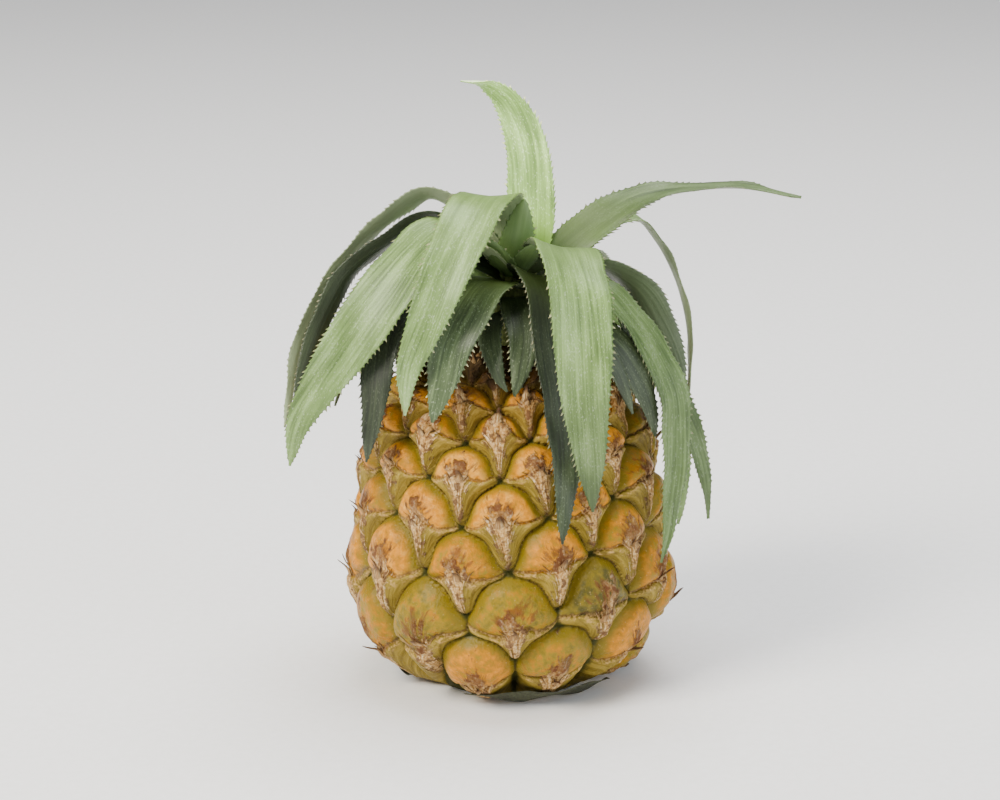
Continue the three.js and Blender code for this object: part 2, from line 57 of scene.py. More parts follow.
# The spiral of the fruitlets: 8 rows lean one way and 13 the other
DIVERGENCE = 137.29
FIRST_TURN = -3
ROWS_STEEP = 8
ROWS_FLAT = 13
TURN_STEEP = ROWS_STEEP * DIVERGENCE - 3 * 360
TURN_FLAT = ROWS_FLAT * DIVERGENCE - 5 * 360
FIRST_REACH = 72.7
RISE = 1.26
RISE_CLOSING = 0.0066
ROW_TILT = 8.5
LOWEST_FRUITLET = -34
LAST_TIP = 52
# The lowest rows are drawn in under the fruit: by this much at the base, fading out at the span
BASE_PULL = 11
BASE_SPAN = 60
# How far low fruitlets are squashed, so they meet their neighbours at the side along an edge, and
# the reaches between which that fades out
LOW_SQUASH = 0.35
SQUASH_FADE = (32, 57)
# The reaches between which the softer look of the lowest fruitlets fades out, and the shares of the
# wall where the sharper look of the highest ones starts and how soon it is full
LOW_ROW_FADE = (12, 36)
HIGH_ROW_START = 0.68
HIGH_ROW_FADE = 0.14
# How far the spiral rows wander, as a share of a fruitlet, in long and in short waves
SWAY_LONG = 0.035
SWAY_SHORT = 0.03

# The rind's grid and the outline of one fruitlet, which is 2 across and 2 high from corner to corner
RIND_COLUMNS = 480
RIND_ROWS = 196
BULGE = 0.14
CORNER_POWER = 9

# The lip of a bract, curved like a smile: its lowest place, its curve, and how far it sinks and
# then rises again for each millimetre between these reaches
SMILE_HEIGHT = -0.18
SMILE_CURVE = 0.30
SMILE_SINKING = 0.005
SINKS_FROM = 82
SINKS_TO = 30
SMILE_RISING = 0.014
RISES_FROM = 28

# The rind's relief
PILLOW = 3.8
PILLOW_POWER = 3.2
MEAN_DROP = 2.7
PIT = 1.0
SHINGLE = 1.2
LIP_STEP = 0.7
CAP_DOME = 0.9
SCURF_HEIGHT = 0.35
HEIGHT_SPREAD = 0.9
WARP = 0.4
WARP_LENGTH = 22

# The cut stem, its socket, the rings that close the rind under and over its wall, the leaves under
# the fruit and the stem of the crown
GAP = 0.35
STEM_RADIUS = 11
STEM_DEPTH = 5
SOCKET_TAPER = 0.6
BASE_RINGS = (16, 21)
TOP_RINGS = (11, 6)
STUB_REACH = 10.5
STUB_LIFT = 2.2
STUB_HALF_THICKNESS = 0.3
CROWN_STEM = ((13, 107.35), (12, 113), (10, 119), (7.5, 124), (4.5, 129), (0.6, 132))

# The leaves
TOOTH_PITCH = 1.75
TOOTH_REACH = 1.0
CHANNEL = 0.09
BLADE_THICKNESS = 1.5
BLADE_TIP_THICKNESS = 1.1
MARGIN_THICKNESS = 0.35
MARGIN_REACH = 0.08
BASE_SHARE = 0.6

# The camera looks at the middle of the object from the photograph's angle
CAMERA_DISTANCE = 0.9
CAMERA_ELEVATION = math.radians(15)
TARGET_HEIGHT = 0.095
SENSOR_WIDTH = 36
LENS = 105.9
SHIFT = (-0.011, -0.0251)


def smooth(x):
    """0 up to 0, 1 from 1, and the cubic 3x^2 - 2x^3 between them."""
    x = np.clip(x, 0, 1)
    return x * x * (3 - 2 * x)


def fade(x, start, end):
    """1 up to start, 0 from end, and the same cubic between them."""
    return 1 - smooth((x - start) / (end - start))


def hump(x, width):
    """A bell round 0 that has fallen to 1/e at width."""
    return np.exp(-((x / width) ** 2))


def ripple(points, length, seed):
    """Soft noise near -1 to 1: the mean of 14 sine waves of about one length in seeded directions."""
    count = 14
    chance = np.random.default_rng(seed)
    directions = chance.normal(size=(count, 3))
    directions /= np.linalg.norm(directions, axis=1, keepdims=True)
    lengths = length * chance.uniform(0.75, 1.35, count)
    phases = chance.uniform(0, 2 * np.pi, count)
    waves = np.sin(points @ (2 * np.pi * directions / lengths[:, None]).T + phases)
    return waves.mean(axis=-1) * 1.9


def fruit_radius(height):
    """Two superellipses that meet at the belly; the upper one also narrows like a cone."""
    drop = np.clip((BELLY_HEIGHT - height) / LOWER_REACH, 0, 1)
    rise = np.clip((height - BELLY_HEIGHT) / UPPER_REACH, 0, 1)
    cone = BELLY_RADIUS - UPPER_TAPER * (height - BELLY_HEIGHT)
    lower = BELLY_RADIUS * (1 - drop ** LOWER_ROUNDNESS) ** (1 / LOWER_ROUNDNESS)
    upper = cone * (1 - rise ** UPPER_ROUNDNESS) ** (1 / UPPER_ROUNDNESS)
    return np.where(height < BELLY_HEIGHT, lower, upper)


HEIGHTS = np.linspace(0, TOP_HEIGHT, 2001)
RADII = fruit_radius(HEIGHTS)
REACHES = np.append(0, np.cumsum(np.hypot(np.diff(HEIGHTS), np.diff(RADII))))
WALL_LENGTH = REACHES[-1]


def turned(radius, turn, height):
    """Points at a radius and a height, turned from the front, -Y, towards +X."""
    return np.stack(np.broadcast_arrays(radius * np.sin(turn), -radius * np.cos(turn), height), -1)


def wall_point(turn, reach, lift):
    """The profile's point at that reach, moved by lift along the profile's normal, then turned."""
    rise = np.interp(reach, REACHES, np.gradient(HEIGHTS, REACHES))
    spread = np.interp(reach, REACHES, np.gradient(RADII, REACHES))
    radius = np.interp(reach, REACHES, RADII) + lift * rise
    height = np.interp(reach, REACHES, HEIGHTS) - lift * spread
    return turned(radius, turn, height)


def row_tilt(level):
    """How far the rows of fruitlets lean at a level: a half sine wave over the wall."""
    return ROW_TILT * np.sin(np.pi * np.clip(level, 0, WALL_LENGTH) / WALL_LENGTH)


def sway(turn, reach):
    """Small drift of the spiral rows, as whole waves round the axis, so the seam stays closed."""
    steep = SWAY_LONG * np.sin(3 * turn + reach / 17 + 1.0)
    steep = steep + SWAY_SHORT * np.sin(7 * turn - reach / 11 + 2.2)
    flat = SWAY_LONG * np.sin(4 * turn - reach / 15 + 4.1)
    flat = flat + SWAY_SHORT * np.sin(6 * turn + reach / 12 + 0.6)
    return steep, flat


def lattice_at(turn, reach):
    """Numbers along the steep and the flat rows at a place: whole ones are fruitlet centres.

    The reach is first stretched near the base by pull (1 - reach / span)^2. The level is that
    reach with the rows' tilt taken out, found by repeated substitution, and the index is the lower
    root of the parabola level = first + rise n - closing n^2.
    """
    reach = reach + BASE_PULL * np.clip(1 - reach / BASE_SPAN, 0, 1) ** 2
    level = reach
    for _ in range(12):
        level = reach + row_tilt(level) * np.sin(turn)
    inside = RISE ** 2 - 4 * RISE_CLOSING * (level - FIRST_REACH)
    index = (RISE - np.sqrt(np.maximum(inside, 0))) / (2 * RISE_CLOSING)
    ahead = np.degrees(turn) - FIRST_TURN
    steep = (ROWS_FLAT * ahead + TURN_FLAT * index) / 360
    flat = -(ROWS_STEEP * ahead + TURN_STEEP * index) / 360
    drift = sway(turn, reach)
    return steep + drift[0], flat + drift[1]


def lattice_place(steep, flat):
    """The turn and the reach of a pair of row numbers: the reverse of lattice_at.

    Below the span the stretch is undone with the upper root of its quadratic.
    """
    turn = np.radians(FIRST_TURN + steep * TURN_STEEP + flat * TURN_FLAT)
    index = -ROWS_STEEP * steep - ROWS_FLAT * flat
    level = FIRST_REACH + RISE * index - RISE_CLOSING * index ** 2
    stretched = level - row_tilt(level) * np.sin(turn)
    square = BASE_PULL / BASE_SPAN ** 2
    slope = 1 - 2 * BASE_PULL / BASE_SPAN
    inside = np.maximum(slope ** 2 - 4 * square * (BASE_PULL - stretched), 0)
    low = (np.sqrt(inside) - slope) / (2 * square)
    return turn, np.clip(np.where(stretched < BASE_SPAN, low, stretched), 0, WALL_LENGTH)


# Six random numbers for every fruitlet, with fruitlet 0 in the row FIRST_ROW. The one in the column
# TONE is its colour from olive to orange, and is set for those that the photograph shows best
CHANCES = np.random.default_rng(11).random((160, 6))
FIRST_ROW = 60
TONE = 4
KNOWN_TONES = {-34: 0.55, -29: 0.16, -26: 0.0, -24: 0.6, -21: 0.08, -18: 0.7, -16: -0.4, -13: 0.42,
               -8: 0.55, -5: 0.8, -3: 0.4, 0: 0.85, 3: 0.6, 5: 0.5, 8: 0.95, 10: 0.35, 13: 0.9,
               16: 0.5, 18: 0.7, 21: 0.3, 24: 0.6, 29: 0.5}
for known_number, known_tone in KNOWN_TONES.items():
    CHANCES[known_number + FIRST_ROW, TONE] = known_tone


def high_row(reach):
    """How far a fruitlet has the sharper look of the highest ones: 0 low down and 1 at the crown."""
    return smooth((reach / WALL_LENGTH - HIGH_ROW_START) / HIGH_ROW_FADE)


def is_arched(number):
    """Two in five of the fruitlets: high up, the lips of their bracts are pointed arches."""
    return number % 5 < 2


def lip_sinking(reach):
    """How far the lips have sunk in their fruitlets: evenly more from SINKS_FROM down to SINKS_TO,
    and evenly less again from RISES_FROM down to the base."""
    sinking = SMILE_SINKING * np.clip(SINKS_FROM - reach, 0, SINKS_FROM - SINKS_TO)
    return sinking - SMILE_RISING * np.maximum(RISES_FROM - reach, 0)


def cell_around(turn, reach):
    """The number of the fruitlet that a place belongs to, and its place in that fruitlet.

    The row numbers are first pushed by cosines squared, so each cap bulges up over its
    neighbours. From the distances to the nearest whole numbers come across (-1 left to 1 right),
    up (-1 bottom to 1 top) and rim (1 at the groove, a norm of power 9, so the corners are tight).
    Low down the cells are cut at |across| = 1 and (1 - s) |across| + (1 + s) |up| = 1, with s the
    squash, so they turn from squares into hexagons. A place below the lowest fruitlets belongs to
    the one over its left or right half, whose lower edges are then upright or missing.
    """
    steep, flat = lattice_at(turn, reach)
    pushed_steep = steep + BULGE * (np.cos(np.pi * flat) ** 2 - 0.5)
    pushed_flat = flat + BULGE * (np.cos(np.pi * steep) ** 2 - 0.5)
    near_steep = np.round(pushed_steep)
    near_flat = np.round(pushed_flat)
    from_steep = pushed_steep - near_steep
    from_flat = pushed_flat - near_flat
    number = (-ROWS_STEEP * near_steep - ROWS_FLAT * near_flat).astype(int)
    across = from_steep - from_flat
    up = -(from_steep + from_flat)
    squash = LOW_SQUASH * fade(reach, *SQUASH_FADE)
    beyond = (1 - squash) * np.abs(across) + (1 + squash) * np.abs(up) > 1
    step_across = beyond * np.where(across < 0, -1, 1)
    step_up = beyond * np.where(up < 0, -1, 1)
    number = number + step_up * np.where(step_across == step_up, ROWS_FLAT, ROWS_STEEP)
    across = across - step_across
    up = up - step_up
    power = CORNER_POWER
    rising = np.abs((1 - squash) * across + (1 + squash) * up) ** power
    falling = np.abs((1 - squash) * across - (1 + squash) * up) ** power
    aside = np.minimum(1, 4 * squash) * np.abs(across) ** power
    rim = (rising + falling + aside) ** (1 / power)
    too_low = number < LOWEST_FRUITLET
    leftward = across < 0
    number = number + too_low * np.where(leftward, ROWS_STEEP, ROWS_FLAT)
    across = across + too_low * np.where(leftward, 1, -1)
    up = up - too_low
    corner = 2 ** (1 / power)
    upright = corner * np.abs(across)
    below_side = (1 + squash) * np.abs(up) - np.abs(across)
    half_open = corner * np.maximum(np.abs(across), below_side)
    # Whether the cell's lower left and lower right edges have no neighbour behind them
    open_left = (number - ROWS_FLAT < LOWEST_FRUITLET) & (up < 0)
    open_right = (number - ROWS_STEEP < LOWEST_FRUITLET) & (up < 0)
    rim = np.where(open_left & open_right, upright, rim)
    rim = np.where(open_left & ~open_right & (across < 0), half_open, rim)
    return number, across, up, rim


def fruitlet_at(turn, reach):
    """What a place on the rind is part of, as named arrays.

    above is the height over the bract's lip, where the cap comes out from under it: a parabola
    across the fruitlet, less its sinking, and in some high fruitlets a pointed arch.
    """
    number, across, up, rim = cell_around(turn, reach)
    chance = CHANCES[(number + FIRST_ROW) % len(CHANCES)]
    pointed = high_row(reach) * is_arched(number)
    smile = SMILE_HEIGHT - lip_sinking(reach) + SMILE_CURVE * across ** 2
    smile = smile + 0.12 * (chance[..., 0] - 0.5)
    smile += 0.05 * np.sin(5 * across + 6 * chance[..., 1])
    smile += pointed * 0.75 * np.maximum(0, 1 - np.abs(across) / 0.55) ** 1.3
    return {
        "across": across, "up": up, "rim": rim, "above": up - smile, "chance": chance,
        "low_row": fade(reach, *LOW_ROW_FADE), "pointed": pointed,
    }


def scurf_at(cell):
    """How deep a place lies in the scurfy middle of the bract, in fifths: below 0 outside it.

    Its half width grows as a straight line from the bottom corner to the bract's lip, then
    shrinks over the cap to nothing past the cap's middle.
    """
    middle = 0.20 * (cell["chance"][..., 1] - 0.5) * smooth(cell["up"] + 0.8)
    top = 0.45 + 0.35 * cell["chance"][..., 2] + 0.3 * cell["low_row"]
    below = 0.10 + 0.32 * np.clip((cell["up"] + 0.9) / 0.7, 0, 1)
    at_lip = 0.10 + 0.32 * np.clip((cell["up"] - cell["above"] + 0.92) / 0.7, 0, 1)
    over = at_lip * np.clip(1 - (cell["above"] - 0.02) / top, 0, 1) ** 0.8
    wider = 1 + 0.3 * cell["pointed"] + 0.6 * cell["low_row"]
    half = np.where(cell["above"] < 0.02, below, over) * wider
    return (half - np.abs(cell["across"] - middle)) / 0.2


def rind_relief(cell, turn, reach):
    """Height of the rind over its mean surface.

    A pillow (1 - rim^3.2)^0.7 over each fruitlet, deeper pits where four corners meet, a hump
    round the bract's tip so the bracts stand out like shingles, a step down from the bract's lip
    to the cap, whose middle domes out again, scurf, a height of each fruitlet's own, a warp in
    long waves, and soft noise. All of it fades at the base and under the crown.
    """
    rim = np.minimum(cell["rim"], 1)
    pillow = (1 - rim ** PILLOW_POWER) ** 0.7
    pits = np.clip((cell["rim"] - 1) / 0.08, 0, 1)
    chance = cell["chance"]
    lower = hump(cell["above"], np.where(cell["above"] < 0, 0.45, 0.5))
    shingle = lower * hump(cell["across"], 0.6) * (1 - 0.7 * cell["low_row"])
    mouth = smooth((0.97 - rim) / 0.15) * (1 - 0.5 * cell["low_row"])
    step = smooth(1 - (cell["above"] + 0.03) / 0.07) * hump(np.minimum(cell["above"] + 0.03, 0), 0.3)
    crease = hump(cell["above"] - 0.07, 0.06)
    edge = 0.88 + 0.10 * np.sin(4 * cell["across"] + 9 * chance[..., 0])
    dome = smooth((cell["above"] - 0.02) / 0.3) * smooth((edge - rim) / 0.3)
    place = wall_point(turn, reach, 0)
    noise = 0.16 * ripple(place, 3.4, 3) + 0.10 * ripple(place, 1.9, 4)
    scurf = np.clip(scurf_at(cell), 0, 1)
    height = PILLOW * pillow - MEAN_DROP - PIT * pits
    height += SHINGLE * shingle * pillow + mouth * LIP_STEP * (step - crease) + CAP_DOME * dome
    height += SCURF_HEIGHT * scurf * pillow + HEIGHT_SPREAD * (chance[..., 3] - 0.5) * pillow
    height += noise * (0.3 + 0.7 * pillow + 0.8 * scurf) + WARP * ripple(place, WARP_LENGTH, 5)
    return height * smooth(reach / 9) * smooth((WALL_LENGTH - reach) / 14)


def grid_quads(rows, columns, closed):
    """Quads of a grid numbered row by row; closed joins the last column to the first."""
    row = np.arange(rows - 1)[:, None] * columns
    column = np.arange(columns if closed else columns - 1)[None, :]
    after = (column + 1) % columns
    corners = [row + column, row + after, row + columns + after, row + columns + column]
    return np.stack(corners, axis=-1).reshape(-1, 4)


def fan(ring, pole, outward_up):
    """Triangles from a ring of point numbers to a pole, so a closed grid has no hole."""
    after = np.roll(ring, -1)
    pair = (ring, after) if outward_up else (after, ring)
    return np.stack([pair[0], pair[1], np.full_like(ring, pole)], axis=-1)


def close_rings(rows):
    """Points and faces of rings about the axis, from the lowest row on, closed to it at both ends."""
    columns = rows.shape[1]
    points = np.concatenate([rows.reshape(-1, 3), [[0, 0, rows[0, 0, 2]], [0, 0, rows[-1, 0, 2]]]])
    last = len(points) - 1
    first_ring = np.arange(columns)
    last_ring = first_ring + (len(rows) - 1) * columns
    faces = [grid_quads(len(rows), columns, True), fan(first_ring, last - 1, False),
             fan(last_ring, last, True)]
    return points, faces


def make_piece(name, points, faces, fields, material, nodes=()):
    """Makes a piece of the object from points in millimetres, with one vector field per name."""
    mesh = bpy.data.meshes.new(name)
    corners = [corner for group in faces for corner in np.asarray(group).tolist()]
    mesh.from_pydata((points * MM).tolist(), [], corners)
    mesh.polygons.foreach_set("use_smooth", np.ones(len(mesh.polygons), dtype=bool))
    for field, values in fields.items():
        layer = mesh.attributes.new(field, "FLOAT_VECTOR", "POINT")
        layer.data.foreach_set("vector", np.asarray(values, dtype=np.float32).ravel())
    mesh.materials.append(material)
    mesh.update()
    piece = bpy.data.objects.new(name, mesh)
    bpy.context.scene.collection.objects.link(piece)
    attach(piece, "root")
    if nodes:
        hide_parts(*nodes)
    return piece


def paint(code):
    """An sRGB hex colour as linear red, green, blue and alpha."""
    parts = [int(code[i:i + 2], 16) / 255 for i in (1, 3, 5)]
    linear = [part / 12.92 if part <= 0.04045 else ((part + 0.055) / 1.055) ** 2.4 for part in parts]
    return (*linear, 1.0)


def start_material(name):
    """A new node material that holds only its output."""
    material = bpy.data.materials.new(name)
    material.use_nodes = True
    tree = material.node_tree
    tree.nodes.clear()
    return material, tree


def add(tree, kind, settings=None, links=None, stops=None):
    """Adds a node: settings are its own values or its sockets', links feed its sockets, and stops
    are the places and colours of a ramp. A link from a node takes its first output in use."""
    node = tree.nodes.new(kind)
    for key, value in (settings or {}).items():
        if isinstance(key, str) and key in node.bl_rna.properties:
            setattr(node, key, value)
        else:
            node.inputs[key].default_value = value
    for key, source in (links or {}).items():
        if isinstance(source, bpy.types.Node):
            source = next(output for output in source.outputs if output.enabled)
        tree.links.new(source, node.inputs[key])
    if stops:
        elements = node.color_ramp.elements
        while len(elements) < len(stops):
            elements.new(0.5)
        for element, (place, code) in zip(elements, stops):
            element.position = place
            element.color = paint(code)
    return node


RANGE = "ShaderNodeMapRange"
MIX = "ShaderNodeMix"
NOISE = "ShaderNodeTexNoise"
MATH = "ShaderNodeMath"
RAMP = "ShaderNodeValToRGB"
# The sockets of a Mix node that works on colours
FIRST = 6
SECOND = 7
PER_MM = 1000
# A range that eases in and out, and a mix of colours
SOFT = {"interpolation_type": "SMOOTHSTEP"}
COLOURS = {"data_type": "RGBA"}


def rind_material():
    """Rind of a ripe pineapple, grown: waxy caps, bracts with corky scurf, olive seams.

    The caps are ochre to orange with a soft gloss and a green-gold rim, the bracts are dull, with
    pale torn fibres and brown spots down their middle, and the seams stay green and dark.
    """
    material, tree = start_material("pineapple rind, ripe and waxy")
    place = add(tree, "ShaderNodeTexCoord").outputs["Object"]
    cell = add(tree, "ShaderNodeAttribute", {"attribute_name": "fruitlet"}).outputs["Vector"]
    cell = add(tree, "ShaderNodeSeparateXYZ", links={"Vector": cell}).outputs
    above, scurf, rim = cell["X"], cell["Y"], cell["Z"]
    spot = add(tree, "ShaderNodeAttribute", {"attribute_name": "fruitlet_place"}).outputs["Vector"]
    spot = add(tree, "ShaderNodeSeparateXYZ", links={"Vector": spot}).outputs
    across, up, tone = spot["X"], spot["Y"], spot["Z"]
    height = add(tree, "ShaderNodeSeparateXYZ", links={"Vector": place}).outputs["Z"]

    # Blotches 8 mm wide, mottling of 2.2 mm and specks of 0.7 mm; real specks are finer
    blotch = add(tree, NOISE, {"Scale": PER_MM / 8, "Detail": 3.0}, {"Vector": place})
    mottle = add(tree, NOISE, {"Scale": PER_MM / 2.2, "Detail": 4.0}, {"Vector": place})
    speck = add(tree, NOISE, {"Scale": PER_MM / 0.7, "Detail": 2.0}, {"Vector": place})

    # Fibres fan out from the bract's root: 1 mm wide at its lip and 5 mm long
    from_root = add(tree, MATH, {"operation": "ADD", 1: 0.85}, {0: up})
    fan_turn = add(tree, MATH, {"operation": "ARCTAN2"}, {0: across, 1: from_root})
    fan_wide = add(tree, MATH, {"operation": "MULTIPLY", 1: 9.0}, {0: fan_turn})
    fan_long = add(tree, MATH, {"operation": "MULTIPLY", 1: 2.0}, {0: from_root})
    own = add(tree, MATH, {"operation": "MULTIPLY", 1: 40.0}, {0: tone})
    fibre_place = add(tree, "ShaderNodeCombineXYZ", links={"X": fan_wide, "Y": fan_long, "Z": own})
    fibre = add(tree, NOISE, {"Scale": 1.0, "Detail": 5.0, "Roughness": 0.65, "Distortion": 0.4},
                {"Vector": fibre_place})

    # The cap: olive, ochre or orange from fruitlet to fruitlet, mottled, with a green-gold rim
    cap_tone = add(tree, MIX, {0: 0.68}, {2: blotch, 3: tone})
    uneven = add(tree, MATH, {"operation": "MULTIPLY_ADD", 1: 2.5, 2: -0.65}, {0: mottle})
    cap_tone = add(tree, MIX, {0: 0.34}, {2: cap_tone, 3: uneven})
    cap = add(tree, RAMP, links={"Fac": cap_tone}, stops=[
        (0.02, "#4a4518"), (0.22, "#746416"), (0.34, "#8a7214"), (0.48, "#a67009"),
        (0.64, "#ca8206"), (0.80, "#dc9c38")])
    wander = add(tree, MATH, {"operation": "MULTIPLY_ADD", 1: 0.45, 2: -0.22}, {0: blotch})
    rim_reach = add(tree, MATH, {"operation": "ADD"}, {0: rim, 1: wander})
    green = add(tree, RANGE, {**SOFT, "From Min": 0.60, "From Max": 0.95}, {"Value": rim_reach})
    cap = add(tree, MIX, {**COLOURS, SECOND: paint("#766513")}, {0: green, FIRST: cap})

    # The bract: olive gold, browner along some of its fibres
    bract = add(tree, RAMP, links={"Fac": fibre}, stops=[
        (0.30, "#604d1c"), (0.48, "#826e22"), (0.68, "#ab9340")])
    is_cap = add(tree, RANGE, {**SOFT, "From Min": 0.0, "From Max": 0.05}, {"Value": above})
    colour = add(tree, MIX, COLOURS, {0: is_cap, FIRST: bract, SECOND: cap})

    # Painted shade in the crease over the bract's lip, 0.5 mm wide, and the pale papery margin on the lip
    off_line = add(tree, MATH, {"operation": "MULTIPLY_ADD", 1: 0.18, 2: -0.09}, {0: mottle})
    off_line = add(tree, MATH, {"operation": "ADD"}, {0: above, 1: off_line})
    from_crease = add(tree, MATH, {"operation": "SUBTRACT", 1: 0.06}, {0: off_line})
    from_crease = add(tree, MATH, {"operation": "ABSOLUTE"}, {0: from_crease})
    # Painted shade: a dark brown line where the cap dips under the lip
    crease = add(tree, RANGE, {**SOFT, "From Min": 0.055, "From Max": 0.01, "To Max": 0.75},
                 {"Value": from_crease})
    colour = add(tree, MIX, {**COLOURS, SECOND: paint("#452a0c")}, {0: crease, FIRST: colour})
    from_lip = add(tree, MATH, {"operation": "ADD", 1: 0.01}, {0: off_line})
    from_lip = add(tree, MATH, {"operation": "ABSOLUTE"}, {0: from_lip})
    lip = add(tree, RANGE, {**SOFT, "From Min": 0.12, "From Max": 0.0, "To Max": 0.95},
              {"Value": from_lip})
    torn_lip = add(tree, MIX, {0: 0.5}, {2: speck, 3: mottle})
    patchy = add(tree, RANGE, {"From Min": 0.46, "From Max": 0.60}, {"Value": torn_lip})
    lip = add(tree, MATH, {"operation": "MULTIPLY", "use_clamp": True}, {0: lip, 1: patchy})
    colour = add(tree, MIX, {**COLOURS, SECOND: paint("#c19c5c")}, {0: lip, FIRST: colour})

    # The scurf: tan torn fibres, near white where thick, with purple brown spots of 2 mm
    torn = add(tree, MATH, {"operation": "MULTIPLY_ADD", 1: 3.2, 2: -1.6}, {0: fibre})
    torn = add(tree, MATH, {"operation": "ADD"}, {0: scurf, 1: torn})
    ragged = add(tree, MATH, {"operation": "MULTIPLY_ADD", 1: 2.6, 2: -1.3}, {0: mottle})
    torn = add(tree, MATH, {"operation": "ADD"}, {0: torn, 1: ragged})
    paper = add(tree, RANGE, {**SOFT, "From Min": 0.25, "From Max": 0.85, "To Max": 0.92},
                {"Value": torn})
    thread = add(tree, MIX, {0: 0.4}, {2: fibre, 3: speck})
    tan = add(tree, RAMP, links={"Fac": thread}, stops=[
        (0.36, "#60401f"), (0.46, "#a67c46"), (0.55, "#cba66e"), (0.65, "#eddab6")])
    spots = add(tree, RANGE, {**SOFT, "From Min": 0.54, "From Max": 0.60, "To Max": 0.8},
                {"Value": mottle})
    tan = add(tree, MIX, {**COLOURS, SECOND: paint("#4e322a")}, {0: spots, FIRST: tan})
    colour = add(tree, MIX, COLOURS, {0: paper, FIRST: colour, SECOND: tan})

    # Corky scars: reddish brown specks round the middle of each cap, and a few pale ones
    middle = add(tree, MATH, {"operation": "SUBTRACT", 1: 0.34}, {0: above})
    middle = add(tree, MATH, {"operation": "ABSOLUTE"}, {0: middle})
    near = add(tree, MATH, {"operation": "ABSOLUTE"}, {0: across})
    near = add(tree, MATH, {"operation": "ADD"}, {0: middle, 1: near})
    near = add(tree, RANGE, {"From Min": 0.58, "From Max": 0.0, "To Max": 0.25}, {"Value": near})
    scar = add(tree, MIX, {0: 0.7}, {2: mottle, 3: fibre})
    scar = add(tree, MATH, {"operation": "ADD"}, {0: scar, 1: near})
    scar = add(tree, RANGE, {**SOFT, "From Min": 0.58, "From Max": 0.70, "To Max": 0.75},
               {"Value": scar})
    colour = add(tree, MIX, {**COLOURS, SECOND: paint("#5e3417")}, {0: scar, FIRST: colour})
    dots = add(tree, RANGE, {**SOFT, "From Min": 0.66, "From Max": 0.74, "To Max": 0.25},
               {"Value": speck})
    colour = add(tree, MIX, {**COLOURS, SECOND: paint("#d9b987")}, {0: dots, FIRST: colour})

    # Browner high up, then painted shade, nearly black, under the crown, and dark olive down in the seams
    high = add(tree, RANGE, {**SOFT, "From Min": 0.076, "From Max": 0.098, "To Max": 0.2},
               {"Value": height})
    colour = add(tree, MIX, {**COLOURS, SECOND: paint("#8f561a")}, {0: high, FIRST: colour})
    # Painted shade: the rind is coloured nearly black high up, where the crown's leaves shade it
    top = add(tree, RANGE, {**SOFT, "From Min": 0.094, "From Max": 0.102, "To Max": 0.88},
              {"Value": height})
    colour = add(tree, MIX, {**COLOURS, SECOND: paint("#2b2010")}, {0: top, FIRST: colour})
    seam_edge = add(tree, MATH, {"operation": "MULTIPLY_ADD", 1: 0.10, 2: -0.05}, {0: mottle})
    seam_edge = add(tree, MATH, {"operation": "ADD"}, {0: rim, 1: seam_edge})
    seam = add(tree, RANGE, {**SOFT, "From Min": 0.96, "From Max": 1.04}, {"Value": seam_edge})
    colour = add(tree, MIX, {**COLOURS, SECOND: paint("#3d3d12")}, {0: seam, FIRST: colour})

    # Dull where scurfy, waxy on the caps
    rough = add(tree, RANGE, {"From Min": -0.02, "From Max": 0.06, "To Min": 0.62, "To Max": 0.38},
                {"Value": above})
    rough = add(tree, MIX, {3: 0.85}, {0: paper, 2: rough})
    fine = add(tree, MIX, {0: 0.4}, {2: mottle, 3: speck})
    fine = add(tree, MIX, {0: 0.45}, {2: fine, 3: fibre})
    # The lip's edge and the torn fibres stand out, sharper than the grid can show them
    edge = add(tree, RANGE, {**SOFT, "From Min": 0.045, "From Max": -0.01, "To Max": 0.8},
               {"Value": off_line})
    edge = add(tree, MATH, {"operation": "ADD"}, {0: edge, 1: fine})
    fluff = add(tree, MATH, {"operation": "MULTIPLY", 1: 0.5}, {0: paper})
    edge = add(tree, MATH, {"operation": "ADD"}, {0: edge, 1: fluff})
    bump = add(tree, "ShaderNodeBump", {"Strength": 1.0, "Distance": 0.9 * MM}, {"Height": edge})
    shader = add(tree, "ShaderNodeBsdfPrincipled", {"IOR": 1.45, "Specular IOR Level": 0.22},
                 {"Base Color": colour, "Roughness": rough, "Normal": bump})
    add(tree, "ShaderNodeOutputMaterial", links={"Surface": shader})
    return material


